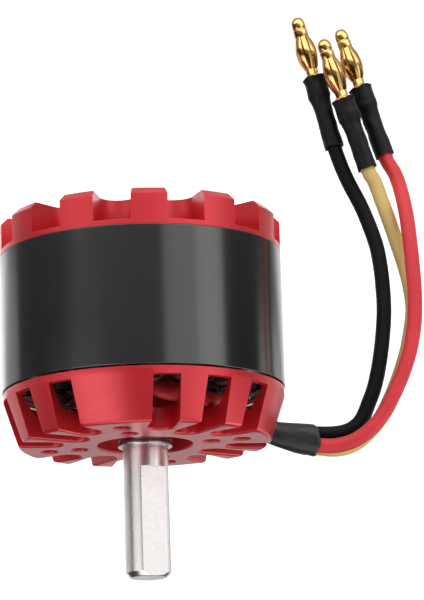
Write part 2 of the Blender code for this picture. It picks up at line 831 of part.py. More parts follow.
def make_shrink(colour, shoulder, along):
    """Heat-shrink tube that covers the solder cup and the lead's end."""
    wall = 0.0004
    lead_bore = LEAD_R + 0.00015
    cup_bore = 0.00215
    step_z = -CUP_LENGTH
    outline = [
        (cup_bore + wall, 0.0),
        (cup_bore + wall, step_z),
        (lead_bore + wall, step_z - 0.0015),
        (lead_bore + wall, -SHRINK_LENGTH),
        (lead_bore, -SHRINK_LENGTH),
        (lead_bore, step_z - 0.0015),
        (cup_bore, step_z),
        (cup_bore, 0.0),
    ]
    shrink = turned(f"heatshrink_{colour}", outline, "heatshrink_black", stator, 16)
    aim(shrink, shoulder, along)


def make_bullet(colour, shoulder, along):
    """Gold bullet connector: solder cup, flange, neck, spring cage and tip."""
    outline = [
        (0.0, PLUG_LENGTH),
        (0.0010, PLUG_LENGTH - 0.0003),
        (0.0016, PLUG_LENGTH - 0.0014),
        (0.0016, PLUG_LENGTH - 0.0052),
        (0.0021, PLUG_LENGTH - 0.0062),
        (0.0025, PLUG_LENGTH - 0.0082),
        (0.0025, PLUG_LENGTH - 0.0098),
        (0.0020, PLUG_LENGTH - 0.0118),
        (0.0014, PLUG_LENGTH - 0.0129),
        (0.0014, 0.0009),
        (0.0023, 0.0009),
        (0.0023, GAP),
        (0.00185, GAP),
        (0.00185, -CUP_LENGTH + GAP),
        (0.0, -CUP_LENGTH + GAP),
    ]
    name = f"bullet_connector_{colour}"
    bullet = turned(name, outline, "gold_plating", stator, 16, closed=False)
    aim(bullet, shoulder, along)


# ---------------------------------------------------------------- build
clear_scene()
parts = new_collection("outrunner_motor")
cutters = new_collection("cutters")
stator = add_empty("stator_side")
rotor = add_empty("rotor_side")

make_front_housing()
make_stator_core()
make_coils()
make_bearings()
make_can()
make_magnets()
make_rear_bell()
make_grub_screws()
make_shaft()
make_sleeve()
make_tails()
for lead_colour, lead in LEADS.items():
    make_lead(lead_colour, lead["route"], lead["shoulder"])
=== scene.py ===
"""Looks of a brushless outrunner motor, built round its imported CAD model.

Lengths are in metres, in the CAD frame: +Z runs along the output shaft, and the origin is
on the axis in the plane of the mounting face. Angles of the machined patterns are measured
from -Y towards -X, in degrees.
"""
import math
import random

import bmesh
import bpy
from mathutils import Matrix, Vector, noise


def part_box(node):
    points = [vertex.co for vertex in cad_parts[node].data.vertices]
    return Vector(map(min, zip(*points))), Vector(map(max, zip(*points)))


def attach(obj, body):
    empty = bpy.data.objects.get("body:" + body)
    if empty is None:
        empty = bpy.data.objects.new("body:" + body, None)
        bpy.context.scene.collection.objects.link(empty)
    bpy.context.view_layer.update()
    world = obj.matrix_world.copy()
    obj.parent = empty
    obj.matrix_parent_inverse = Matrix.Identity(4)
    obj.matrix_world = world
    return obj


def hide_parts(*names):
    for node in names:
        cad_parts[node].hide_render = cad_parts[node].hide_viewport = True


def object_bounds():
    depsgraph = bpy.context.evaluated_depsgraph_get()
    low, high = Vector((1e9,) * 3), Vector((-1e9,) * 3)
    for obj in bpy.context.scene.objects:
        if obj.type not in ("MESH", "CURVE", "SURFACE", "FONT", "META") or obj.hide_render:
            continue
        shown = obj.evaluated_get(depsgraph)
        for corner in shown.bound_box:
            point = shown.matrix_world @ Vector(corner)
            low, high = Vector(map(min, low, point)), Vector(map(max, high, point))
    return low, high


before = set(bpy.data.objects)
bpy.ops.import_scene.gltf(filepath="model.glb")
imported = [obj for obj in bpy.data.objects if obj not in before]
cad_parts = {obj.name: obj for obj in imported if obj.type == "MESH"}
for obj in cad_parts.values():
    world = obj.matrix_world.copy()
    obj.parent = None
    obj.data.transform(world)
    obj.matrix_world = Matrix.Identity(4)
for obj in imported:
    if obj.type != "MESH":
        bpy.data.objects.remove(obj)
cad_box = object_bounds()


# ---------------------------------------------------------------- sizes
def top(node):
    """Highest point of a CAD node."""
    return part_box(node)[1].z


def bottom(node):
    """Lowest point of a CAD node."""
    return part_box(node)[0].z


def outer(node):
    """Outer radius of a CAD node that is turned about Z."""
    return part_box(node)[1].x


GAP = 0.0003                 # clearance that the CAD keeps between pieces that touch
STEPS = 288                  # facets round a large turned piece: 18 a slot, 24 a notch
SMALL_STEPS = 96             # facets round a small turned piece

BODY_R = outer("rotor_can")
CAN_BORE_R = 0.0292
CAN_FRONT_Z = top("rotor_can")
BELL_FRONT_Z = bottom("rotor_can") - GAP
BELL_REAR_Z = bottom("rear_bell")

FACE_R = 0.0280
PLATE_T = 0.0050
CONE_R = outer("front_housing")
CONE_Z = -0.0100
BAND_Z = CAN_FRONT_Z + 0.0004
WALL_T = 0.0017
FACE_EDGE = 0.0008           # rounding between the mounting face and the cone
RECESS_R = 0.0106
RECESS_DEPTH = 0.0035
TUBE_R = 0.0120
TUBE_REAR_Z = bottom("front_housing")

PATTERN_ANGLE = -13.0        # first screw land
PATTERN_STEP = 22.5          # sixteen places: four lands and twelve slots
SLOT_W = 0.0060
SLOT_EDGE = 0.0005           # rounding of the slots' edges in the mounting face
HOLE_EDGE = 0.0004
SHORT_SLOT_R = 0.0213        # centre of a short slot's round end
LONG_SLOT_R = 0.01785        # centre of a long slot's round end
SCREW_HOLE_R = 0.0020
SCREW_CIRCLES = (0.0150, 0.0220)

BELL_CHAMFER = 0.0015
BELL_PLATE_Z = -0.0446
BELL_GROOVE_R = (0.0155, 0.0150, 0.0090, 0.0085)   # recess in the rear face: rim, floor, floor, hub
BELL_GROOVE_DEPTH = 0.0013
BELL_HOLLOW_R = 0.0265
BELL_HUB_R = 0.0075
SPIGOT_LENGTH = 0.0018
NOTCHES = 12
NOTCH_ANGLE = 19.1
NOTCH_W = 0.0084
NOTCH_END_R = 0.0239
NOTCH_FLOOR_Z = -0.0441
GRUB_NOTCHES = (4, 7)
GRUB_THREAD_R = 0.0023
GRUB_Z = -0.0473

SHAFT_R = outer("shaft")
SHAFT_FRONT_Z = top("shaft")
SHAFT_REAR_Z = bottom("shaft")
FLAT_ANGLE = 24.5
FLAT_DISTANCE = 0.0040
FLAT_START_Z = 0.0053
SNAP_RING_GAP_ANGLE = 150.0

BEARING_R = outer("front_bearing_outer_ring")
RACE_R = 0.0063              # outer radius of a bearing's inner ring, and of the bell's seat on it

TEETH = 12
TOOTH_W = 0.0046
INSULATOR_T = 0.0008
COIL_INNER_R = 0.0163
COIL_OUTER_R = 0.0238
WIRE_R = 0.00030
COIL_LAYERS = 4
TURN_SPACING = 1.04          # between turns, in wire diameters
LAYER_SPACING = 0.92         # between layers, in turn spacings
STRAND_R = 0.00022
STRANDS = 44

LEAD_R = 0.0017
PLUG_LENGTH = 0.0152         # bullet connector beyond its heat shrink
SHRINK_LENGTH = 0.0170
CUP_LENGTH = 0.0060
CUP_SHOWN = 0.0050           # solder cup's length under the heat shrink
LEAVES = 10                  # sprung leaves of a bullet connector
LEAF_Z = (0.0023, 0.0099)    # heights of their ends above the shoulder
LEAF_BOW = 0.00098           # how far their middles stand out
LEAF_T = 0.00022

# Axis of the sleeve round the three leads: x, y, z and radius, as in the CAD.
SLEEVE_ROUTE = (
    (-0.0248, 0.0041, -0.0060, 0.0026), (-0.0265, 0.0044, -0.0043, 0.0026),
    (-0.0285, 0.0047, -0.0031, 0.0027), (-0.0304, 0.0051, -0.0025, 0.0030),
    (-0.0345, 0.0059, -0.0017, 0.0033), (-0.0382, 0.0061, -0.0012, 0.0034),
)
SLEEVE_MOUTH = (-0.0389, 0.0062, -0.0012)
SLEEVE_WALL = 0.0004
SLEEVE_TRIM = (0.0013, 0.0019)   # how far the mouth is cut back at its rear and front side
SLEEVE_TRIM_LENGTH = 0.0046
SLEEVE_STEP = 0.0003
SLEEVE_SIDES = 72
SLEEVE_WIDTH = (0.97, 0.31)      # width over height in the housing's slot, and what it gains outside
SLEEVE_SPREAD = (0.0290, 0.0075)  # distance from the axis where it starts to widen, and over what length
SLEEVE_SQUARENESS = 0.30
ROOT_LENGTH = 0.0030         # stretch of each lead inside the sleeve
ROOT_LEAN = 0.45             # share of the way to the sleeve's axis that its inner end leans
ROOT_R = LEAD_R * 0.985      # slightly thinner, so that it stays inside the cord where they overlap

# Each free lead's route from the sleeve to its heat shrink, then its plug's shoulder.
LEADS = {
    "black": {
        "route": (
            (-0.0386, 0.0064, -0.0028), (-0.0410, 0.0064, -0.0027), (-0.0431, 0.0064, -0.0028),
            (-0.0449, 0.0064, -0.0031), (-0.0466, 0.0064, -0.0038), (-0.0481, 0.0064, -0.0050),
            (-0.0493, 0.0064, -0.0068), (-0.0504, 0.0064, -0.0094), (-0.0519, 0.0065, -0.0132),
            (-0.0532, 0.0066, -0.0185), (-0.0542, 0.0068, -0.0245), (-0.0548, 0.0070, -0.0305),
            (-0.0548, 0.0073, -0.0360), (-0.0544, 0.0076, -0.0419), (-0.0535, 0.0079, -0.0472),
            (-0.0509, 0.0083, -0.0551), (-0.0477, 0.0085, -0.0622), (-0.0453, 0.0085, -0.0692),
        ),
        "shoulder": (-0.0411, 0.0085, -0.0863),
        "length": 0.088,
    },
    "red": {
        "route": (
            (-0.0386, 0.0043, 0.0003), (-0.0425, 0.0039, 0.0005), (-0.0465, 0.0034, -0.0004),
            (-0.0503, 0.0031, -0.0028), (-0.0534, 0.0029, -0.0062), (-0.0560, 0.0028, -0.0108),
            (-0.0583, 0.0028, -0.0158), (-0.0600, 0.0029, -0.0207), (-0.0610, 0.0030, -0.0255),
            (-0.0615, 0.0031, -0.0300), (-0.0616, 0.0032, -0.0352), (-0.0614, 0.0034, -0.0406),
            (-0.0611, 0.0038, -0.0462), (-0.0607, 0.0047, -0.0519), (-0.0600, 0.0064, -0.0576),
            (-0.0588, 0.0083, -0.0630), (-0.0568, 0.0096, -0.0675),
        ),
        "shoulder": (-0.0518, 0.0100, -0.0840),
        "length": 0.092,
    },
    "yellow": {
        "route": (
            (-0.0386, 0.0088, 0.0000), (-0.0426, 0.0092, 0.0004), (-0.0466, 0.0096, -0.0005),
            (-0.0502, 0.0099, -0.0031), (-0.0532, 0.0101, -0.0067), (-0.0558, 0.0102, -0.0114),
            (-0.0581, 0.0102, -0.0168), (-0.0599, 0.0102, -0.0222), (-0.0610, 0.0102, -0.0273),
            (-0.0616, 0.0101, -0.0319), (-0.0611, 0.0100, -0.0372), (-0.0600, 0.0098, -0.0422),
            (-0.0586, 0.0094, -0.0470), (-0.0571, 0.0085, -0.0517), (-0.0553, 0.0072, -0.0567),
            (-0.0538, 0.0059, -0.0608), (-0.0524, 0.0049, -0.0632),
        ),
        "shoulder": (-0.0474, 0.0043, -0.0797),
        "length": 0.090,
    },
}

# Inner end of each phase, between its coil and the sleeve: angle, radius and height.
TAILS = {
    "red": (
        (-1.0, 0.0195, -0.0108), (5.0, 0.0196, -0.0096), (12.0, 0.0199, -0.0084),
        (22.0, 0.0202, -0.0077), (32.0, 0.0204, -0.0073), (50.0, 0.0208, -0.0071),
        (70.0, 0.0212, -0.0071), (90.0, 0.0215, -0.0071),
    ),
    "black": (
        (52.0, 0.0146, -0.0074), (66.0, 0.0150, -0.0072), (82.0, 0.0158, -0.0071),
        (97.0, 0.0165, -0.0071),
    ),
    "yellow": (
        (152.0, 0.0192, -0.0074), (138.0, 0.0200, -0.0072), (124.0, 0.0208, -0.0071),
        (109.0, 0.0214, -0.0071),
    ),
}

CAMERA_PLACE = (0.0, -0.7288, 0.13277)
CAMERA_AIM = (-0.01581, 0.0, -0.03271)
CAMERA_ROLL = 178.236        # the motor hangs by its face, so the camera is upside down
CAMERA_LENS = 200.0
SHAFT_AIM = (0.0, 0.0, 0.0)  # the shaft's own lights are level with its root
FLOOR_DROP = 0.25            # floor below the lowest connector
FLOOR_REACH = 6.0
WORLD_GLOW = 0.03            # low, because the black can mirrors the surroundings

# Azimuth, elevation, distance, size and glow of each light, then its aim and spread where they differ.
LIGHTS = {
    "right_key": (43.0, 8.0, 0.75, (0.74, 0.76), 0.80),
    "right_accent": (57.0, 6.0, 0.65, (0.28, 0.62), 0.50),
    "left_key": (-40.0, 27.0, 0.8, (0.52, 0.50), 1.95),
    "right_back": (126.0, 8.0, 0.7, (0.50, 0.50), 0.9),
    "right_high": (92.0, 35.0, 0.8, (0.62, 0.42), 2.3),
    "left_back": (-141.0, 4.0, 0.8, (0.66, 0.54), 0.62),
    "shaft_key": (-54.0, 0.0, 0.30, (0.26, 0.105), 1.05, SHAFT_AIM),
    "shaft_side": (-106.0, 0.0, 0.30, (0.13, 0.105), 0.5, SHAFT_AIM),
    "top_light": (0.0, 78.0, 0.9, (0.9, 0.7), 1.6),
    "back_wall": (180.0, 10.0, 2.4, (2.6, 0.7), 0.8),
    "front_fill": (-23.0, -14.0, 1.1, (1.66, 0.30), 0.14),
    "low_light": (0.0, -90.0, 0.3, (1.1, 0.50), 1.6, (0.1, -0.32, -0.01)),
    "floor_wash": (180.0, 90.0, 0.05, (1.6, 3.10), 1.25, (0.0, 2.0, 0.0), 60.0),
}

STATOR = "stator_side"
ROTOR = "rotor_side"
collection = bpy.context.scene.collection


# ---------------------------------------------------------------- node helpers
def add_node(tree, kind, settings=None, **inputs):
    """Add a node; an input is a value or another node's output socket, by name or as n and its index."""
    node = tree.nodes.new("ShaderNode" + kind)
    for key, value in (settings or {}).items():
        setattr(node, key, value)
    for key, value in inputs.items():
        socket = node.inputs[int(key[1:]) if key[1:].isdigit() else key]
        if isinstance(value, bpy.types.NodeSocket):
            tree.links.new(value, socket)
        else:
            socket.default_value = value
    return node


def math_node(tree, operation, a, b=0.0):
    """Arithmetic on one or two values."""
    return add_node(tree, "Math", {"operation": operation}, n0=a, n1=b).outputs[0]


def scaled(tree, vector, scale):
    """Vector times a constant in each direction."""
    return add_node(tree, "VectorMath", {"operation": "MULTIPLY"}, n0=vector, n1=scale).outputs[0]


def multiplied(tree, a, b):
    """Product of two colours."""
    settings = {"data_type": "RGBA", "blend_type": "MULTIPLY"}
    return add_node(tree, "Mix", settings, n0=1.0, n6=a, n7=b).outputs[2]


def noise_value(tree, vector, scale, detail=3.0, roughness=0.55):
    """Noise between about 0.2 and 0.8."""
    inputs = {"Vector": vector, "Scale": scale, "Detail": detail, "Roughness": roughness}
    return add_node(tree, "TexNoise", None, **inputs).outputs[0]


def ramp(tree, value, *stops):
    """Colour ramp from (place, grey or colour) stops."""
    node = add_node(tree, "ValToRGB", None, Fac=value)
    elements = node.color_ramp.elements
    while len(elements) < len(stops):
        elements.new(1.0)
    for element, (place, colour) in zip(elements, stops):
        element.position = place
        rgb = (colour,) * 3 if isinstance(colour, float) else colour
        element.color = (*rgb, 1.0)
    return node.outputs["Color"]


def bump(tree, height, distance, strength=1.0, after=None):
    """Normal from a height; distance is the height's full size in metres."""
    inputs = {"Height": height, "Distance": distance, "Strength": strength}
    if after is not None:
        inputs["Normal"] = after
    return add_node(tree, "Bump", None, **inputs).outputs[0]


def turned_height(tree, place, scale):
    """Tool marks of a lathe: rings round Z on flat faces, and round a cylinder's side."""
    x, y, z = add_node(tree, "SeparateXYZ", None, Vector=place).outputs
    xx = math_node(tree, "MULTIPLY", x, x)
    yy = math_node(tree, "MULTIPLY", y, y)
    radius = math_node(tree, "SQRT", math_node(tree, "ADD", xx, yy))
    slow = math_node(tree, "MULTIPLY", math_node(tree, "ADD", x, y), 0.01)
    vector = add_node(tree, "CombineXYZ", None, X=radius, Y=z, Z=slow).outputs[0]
    return noise_value(tree, vector, scale, 2.0)


# ---------------------------------------------------------------- materials
MATERIALS = {}


def new_material(name, **sockets):
    """Start a material from its shader's constants.

    Gives its tree, and the place in the piece's own space, which is the CAD frame at rest.
    """
    made = bpy.data.materials.new(name)
    made.use_nodes = True
    tree = made.node_tree
    for key, value in sockets.items():
        tree.nodes["Principled BSDF"].inputs[key.replace("_", " ")].default_value = value
    MATERIALS[name] = made
    return tree, add_node(tree, "TexCoord").outputs["Object"]


def dress(tree, **outputs):
    """Link outputs to the shader's inputs."""
    for key, output in outputs.items():
        tree.links.new(output, tree.nodes["Principled BSDF"].inputs[key.replace("_", " ")])


def red_anodised():
    """Red anodised aluminium: dyed satin metal with fine grain and lathe rings."""
    tree, place = new_material(
        "red_anodised", Metallic=0.54, IOR=1.5, Coat_Weight=0.8, Coat_Roughness=0.32, Coat_IOR=1.5
    )
    cloud = noise_value(tree, place, 90.0, 3.0)
    grain = noise_value(tree, place, 5200.0, 2.0, 0.6)
    colour = ramp(tree, cloud, (0.3, (0.67, 0.013, 0.024)), (0.7, (0.75, 0.018, 0.031)))
    speck = ramp(tree, grain, (0.35, 0.86), (0.70, 1.0))
    rings = bump(tree, turned_height(tree, place, 4200.0), 0.000006, 0.5)
    dress(
        tree,
        Base_Color=multiplied(tree, colour, speck),
        Roughness=ramp(tree, noise_value(tree, place, 700.0), (0.25, 0.36), (0.75, 0.46)),
        Normal=bump(tree, grain, 0.000010, 0.8, rings),
    )


def black_can():
    """Black coated steel, brushed round its axis."""
    tree, place = new_material("black_can", Metallic=0.0, IOR=2.0)
    streak = noise_value(tree, scaled(tree, place, (40.0, 40.0, 9000.0)), 1.0, 3.0, 0.6)
    cloud = noise_value(tree, place, 60.0, 3.0)
    mixed = math_node(tree, "ADD", streak, math_node(tree, "MULTIPLY", cloud, 0.5))
    dress(
        tree,
        Base_Color=ramp(tree, streak, (0.25, (0.0030, 0.0030, 0.0036)), (0.75, (0.0060, 0.0060, 0.0070))),
        Roughness=ramp(tree, mixed, (0.45, 0.16), (1.0, 0.21)),
        Normal=bump(tree, streak, 0.000003, 0.5),
    )


def steel(name, colour, roughness, ring_scale, depth):
    """Bare steel, with turned or ground lines round Z."""
    tree, place = new_material(name, Metallic=1.0)
    dark = tuple(c * 0.86 for c in colour)
    cloud = noise_value(tree, place, 260.0, 4.0)
    wear = noise_value(tree, place, 1500.0)
    dress(
        tree,
        Base_Color=ramp(tree, cloud, (0.3, dark), (0.7, colour)),
        Roughness=ramp(tree, wear, (0.25, roughness * 0.8), (0.75, roughness * 1.25)),
        Normal=bump(tree, turned_height(tree, place, ring_scale), depth, 0.6),
    )


def shaft_steel():
    """Ground steel of the shaft: fine lines round it, slight mottling from handling."""
    tree, place = new_material("ground_steel", Metallic=1.0)
    speck = noise_value(tree, place, 1900.0, 3.0, 0.65)
    cloud = noise_value(tree, place, 220.0, 3.0)
    lines = noise_value(tree, scaled(tree, place, (30.0, 30.0, 7000.0)), 1.0, 3.0)
    dress(
        tree,
        Base_Color=ramp(tree, speck, (0.30, (0.76, 0.72, 0.71)), (0.65, (0.85, 0.82, 0.81))),
        Roughness=ramp(tree, cloud, (0.3, 0.24), (0.7, 0.34)),
        Normal=bump(tree, speck, 0.000006, 0.5, bump(tree, lines, 0.000004, 0.5)),
    )


def laminated_steel():
    """Edges of thin varnished steel sheets."""
    tree, place = new_material("electrical_steel", Metallic=0.6)
    inputs = {"Vector": place, "Scale": 560.0, "Distortion": 0.2}
    sheets = add_node(tree, "TexWave", {"bands_direction": "Z"}, **inputs).outputs[0]
    dress(
        tree,
        Base_Color=ramp(tree, sheets, (0.2, (0.035, 0.034, 0.036)), (0.6, (0.16, 0.155, 0.15))),
        Roughness=ramp(tree, noise_value(tree, place, 900.0), (0.3, 0.42), (0.7, 0.60)),
        Normal=bump(tree, sheets, 0.00005, 0.5),
    )


def insulating_sheet():
    """Black pressed insulating board."""
    tree, place = new_material("insulator_black")
    fibre = noise_value(tree, place, 2600.0, 4.0, 0.7)
    dress(
        tree,
        Base_Color=ramp(tree, fibre, (0.3, 0.010), (0.7, 0.030)),
        Roughness=ramp(tree, fibre, (0.3, 0.50), (0.7, 0.72)),
        Normal=bump(tree, fibre, 0.00003, 0.6),
    )


def varnished_wire():
    """Enamelled copper under dark impregnating varnish, with random bright copper patches: partly bare
    copper, partly painted glints.
    """
    tree, place = new_material(
        "varnished_copper", Metallic=0.35, Coat_Weight=0.8, Coat_Roughness=0.16, Coat_IOR=1.5
    )
    patch = noise_value(tree, place, 420.0, 4.0, 0.65)
    # The top stop paints random bright copper patches: partly bare copper, partly painted glints in place
    # of highlights on the wire.
    stops = ((0.30, (0.010, 0.006, 0.005)), (0.56, (0.035, 0.014, 0.009)), (0.74, (0.26, 0.105, 0.05)))
    dress(
        tree,
        Base_Color=ramp(tree, patch, *stops),
        Roughness=ramp(tree, patch, (0.3, 0.24), (0.7, 0.45)),
        Normal=bump(tree, noise_value(tree, place, 1800.0, 3.0), 0.00006, 0.6),
    )


def silicone(colour_name, low_colour, high_colour, sheen, ior=1.42):
    """Soft silicone insulation with a faint skin texture."""
    tree, place = new_material(
        f"silicone_{colour_name}", IOR=ior, Sheen_Weight=sheen, Sheen_Roughness=0.5
    )
    cloud = noise_value(tree, place, 150.0, 3.0)
    dress(
        tree,
        Base_Color=ramp(tree, cloud, (0.3, low_colour), (0.7, high_colour)),
        Roughness=ramp(tree, noise_value(tree, place, 900.0), (0.3, 0.42), (0.7, 0.56)),
        Normal=bump(tree, noise_value(tree, place, 620.0, 3.0), 0.00003, 0.5),
    )


def heat_shrink(name, ior, glow=1.0):
    """Polyolefin tube: matt black, with draw lines and small dimples."""
    tree, place = new_material(name, IOR=ior)
    skin = noise_value(tree, place, 1300.0, 3.0, 0.6)
    folds = noise_value(tree, scaled(tree, place, (240.0, 900.0, 900.0)), 1.0, 3.0)
    # glow scales the base colour; above 1 it is painted light, giving a lighter copy of the same black
    # tube.
    low, high = 0.0040 * glow, 0.0085 * glow
    dress(
        tree,
        Base_Color=ramp(tree, skin, (0.3, (low, low, low * 1.2)), (0.7, (high, high, high * 1.16))),
        Roughness=ramp(tree, folds, (0.3, 0.38), (0.7, 0.56)),
        Normal=bump(tree, skin, 0.00002, 0.5, bump(tree, folds, 0.00012, 0.5)),
    )


def gold_plate():
    """Bright gold plating over machined brass."""
    tree, place = new_material("gold_plating", Metallic=1.0)
    tint = noise_value(tree, place, 700.0, 3.0)
    dress(
        tree,
        Base_Color=ramp(tree, tint, (0.3, (0.62, 0.36, 0.11)), (0.7, (0.82, 0.56, 0.23))),
        Roughness=ramp(tree, tint, (0.3, 0.09), (0.7, 0.17)),
        Normal=bump(tree, noise_value(tree, place, 4000.0), 0.000006, 0.4),
    )


def black_screw():
    """Blackened steel of the grub screws."""
    tree, place = new_material("screw_black", Metallic=0.8)
    patch = noise_value(tree, place, 1800.0, 3.0)
    dress(
        tree,
        Base_Color=ramp(tree, patch, (0.3, 0.018), (0.7, 0.050)),
        Roughness=ramp(tree, patch, (0.3, 0.32), (0.7, 0.50)),
        Normal=bump(tree, patch, 0.00002, 0.5),
    )


def pale_floor():
    """Matt white studio floor with the faintest mottling."""
    tree, place = new_material("studio_floor", Roughness=0.9, Specular_IOR_Level=0.0)
    dress(tree, Base_Color=ramp(tree, noise_value(tree, place, 3.0, 3.0), (0.3, 0.90), (0.7, 0.92)))


red_anodised()
black_can()
shaft_steel()
steel("bearing_steel", (0.58, 0.57, 0.56), 0.24, 5200.0, 0.000006)
laminated_steel()
insulating_sheet()
varnished_wire()
steel("magnet_nickel", (0.55, 0.53, 0.50), 0.30, 900.0, 0.000004)
silicone("black", (0.0028, 0.0028, 0.0032), (0.0056, 0.0056, 0.0064), 0.02, 1.24)
silicone("red", (0.60, 0.028, 0.036), (0.70, 0.036, 0.046), 0.1)
silicone("yellow", (0.62, 0.44, 0.14), (0.72, 0.54, 0.20), 0.1)
heat_shrink("heatshrink_black", 1.30)
# Copy of the heat shrink for the sleeve with its base colour doubled: painted light for the brighter
# light on the sleeve.
heat_shrink("sleeve_painted_lighter", 1.55, 2.0)
gold_plate()
black_screw()
pale_floor()


# ---------------------------------------------------------------- mesh helpers
def direction(angle):
    """Unit vector in the XY plane at a pattern angle."""
    a = math.radians(angle)
    return Vector((-math.sin(a), -math.cos(a), 0.0))


def turn_to(angle):
    """Rotation about Z that takes +X to a pattern angle."""
    out = direction(angle)
    return Matrix.Rotation(math.atan2(out.y, out.x), 4, "Z")


def rounded(outline, size, arc=3, closed=True):
    """Outline whose corners are replaced by small curves."""
    count = len(outline)
    result = []
    for i, corner in enumerate(outline):
        if not closed and i in (0, count - 1):
            result.append(corner)
            continue
        here = Vector(corner)
        before = Vector(outline[i - 1])
        after = Vector(outline[(i + 1) % count])
        reach = min(size, (before - here).length * 0.45, (after - here).length * 0.45)
        a = here + (before - here).normalized() * reach
        b = here + (after - here).normalized() * reach
        for k in range(arc + 1):
            t = k / arc
            result.append(tuple(a * (1 - t) ** 2 + here * 2 * t * (1 - t) + b * t ** 2))
    return result


def lathe(name, outline, steps=STEPS, closed=True):
    """Mesh of an outline of (radius, height) points turned about Z."""
    shape = bmesh.new()
    rings = []
    for radius, z in outline:
        around = 1 if radius < 0.000001 else steps
        ring = []
        for i in range(around):
            a = 2 * math.pi * i / around
            ring.append(shape.verts.new((radius * math.cos(a), radius * math.sin(a), z)))
        rings.append(ring)
    following = rings[1:] + rings[:1] if closed else rings[1:]
    for one, other in zip(rings, following):
        for i in range(steps):
            j = (i + 1) % steps
            corners = [ring[k % len(ring)] for ring, k in ((one, i), (one, j), (other, j), (other, i))]
            corners = list(dict.fromkeys(corners))
            if len(corners) > 2:
                shape.faces.new(corners)
    bmesh.ops.recalc_face_normals(shape, faces=shape.faces)
    return to_mesh(name, shape)


def to_mesh(name, shape):
    """Write a bmesh to a new mesh and free it."""
    mesh = bpy.data.meshes.new(name)
    shape.to_mesh(mesh)
    shape.free()
    return mesh


def stack(sections, matrix):
    """Closed solid through outlines of equal count at rising heights, moved by a matrix."""
    shape = bmesh.new()
    levels = [[shape.verts.new((x, y, z)) for x, y in outline] for z, outline in sections]
    shape.faces.new(levels[0])
    shape.faces.new(levels[-1])
    for lower, upper in zip(levels, levels[1:]):
        for i in range(len(lower)):
            j = (i + 1) % len(lower)
            shape.faces.new((lower[i], lower[j], upper[j], upper[i]))
    bmesh.ops.recalc_face_normals(shape, faces=shape.faces)
    bmesh.ops.transform(shape, matrix=matrix, verts=shape.verts)
    return to_mesh("solid", shape)


def prism(outline, low, high, matrix):
    """Closed prism of an outline, moved by a matrix."""
    return stack([(low, outline), (high, outline)], matrix)


def flared(draw, low, edge, matrix):
    """Cutter whose walls open out in a round of radius edge below the plane z = 0.

    draw gives the outline for a widening.
    """
    sections = [(low, draw(0.0))]
    for k in range(5):
        rise = edge * k / 4
        sections.append((rise - edge, draw(edge - math.sqrt(edge ** 2 - rise ** 2))))
    sections.append((0.001, draw(edge)))
    return stack(sections, matrix)


def ease(t):
    """Smooth rise from 0 to 1 as t does."""
    t = min(max(t, 0.0), 1.0)
    return t * t * (3 - 2 * t)


def circle(radius, count):
    """Points round a circle."""
    return [
        (radius * math.cos(2 * math.pi * i / count), radius * math.sin(2 * math.pi * i / count))
        for i in range(count)
    ]


def round_slot(centre_r, outer_r, width, arc_points=20):
    """Outline along +X with a half-round inner end and an open outer end."""
    half = width / 2
    outline = [(outer_r, -half), (outer_r, half)]
    for i in range(arc_points + 1):
        a = math.pi / 2 + math.pi * i / arc_points
        outline.append((centre_r + half * math.cos(a), half * math.sin(a)))
    return outline


def joined(name, meshes):
    """One mesh that holds several."""
    shape = bmesh.new()
    for mesh in meshes:
        shape.from_mesh(mesh)
        bpy.data.meshes.remove(mesh)
    return to_mesh(name, shape)


def carve(mesh, tool):
    """Mesh with a tool mesh taken away."""
    body = bpy.data.objects.new("carve_body", mesh)
    cutter = bpy.data.objects.new("carve_tool", tool)
    collection.objects.link(body)
    collection.objects.link(cutter)
    modifier = body.modifiers.new("cut", "BOOLEAN")
    modifier.object = cutter
    bpy.context.view_layer.update()
    graph = bpy.context.evaluated_depsgraph_get()
    result = bpy.data.meshes.new_from_object(body.evaluated_get(graph))
    for obj in (body, cutter):
        bpy.data.objects.remove(obj, do_unlink=True)
    return result


def eased(mesh, width, sectors, sharp=30.0):
    """Mesh with its flat faces merged and a small round on each sharp edge.

    A flat face stays divided at the sector lines, so that none of them has a hole in it.
    """
    shape = bmesh.new()
    shape.from_mesh(mesh)
    bmesh.ops.dissolve_degenerate(shape, dist=width, edges=shape.edges)
    for edge in shape.edges:
        edge.seam = on_sector_line(edge, sectors)
    bmesh.ops.dissolve_limit(
        shape, angle_limit=math.radians(0.3), verts=shape.verts, edges=shape.edges, delimit={"SEAM"}
    )
    limit = math.radians(sharp)
    edges = [e for e in shape.edges if len(e.link_faces) == 2 and e.calc_face_angle(0.0) > limit]
    bmesh.ops.bevel(
        shape, geom=edges, offset=width, segments=2, profile=0.5, affect="EDGES", clamp_overlap=True
    )
    bmesh.ops.recalc_face_normals(shape, faces=shape.faces)
    return to_mesh(mesh.name, shape)


def on_sector_line(edge, sectors):
    """True for an edge that runs straight away from the axis on one of the sector lines."""
    turns = []
    for vertex in edge.verts:
        share = math.atan2(vertex.co.y, vertex.co.x) * sectors / (2 * math.pi)
        if abs(share - round(share)) > 0.002:
            return False
        turns.append(round(share) % sectors)
    return turns[0] == turns[1]


def piece(name, data, finish, body, replaced=(), sharp=32.0, weighted=True):
    """Show a mesh or curve as a finished piece that moves with a body."""
    obj = bpy.data.objects.new(name, data)
    collection.objects.link(obj)
    data.materials.clear()
    data.materials.append(MATERIALS[finish])
    if isinstance(data, bpy.types.Mesh):
        data.shade_smooth()
        data.set_sharp_from_angle(angle=math.radians(sharp))
        if weighted:
            modifier = obj.modifiers.new("normals", "WEIGHTED_NORMAL")
            modifier.keep_sharp = True
    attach(obj, body)
    if replaced:
        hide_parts(*replaced)
    return obj


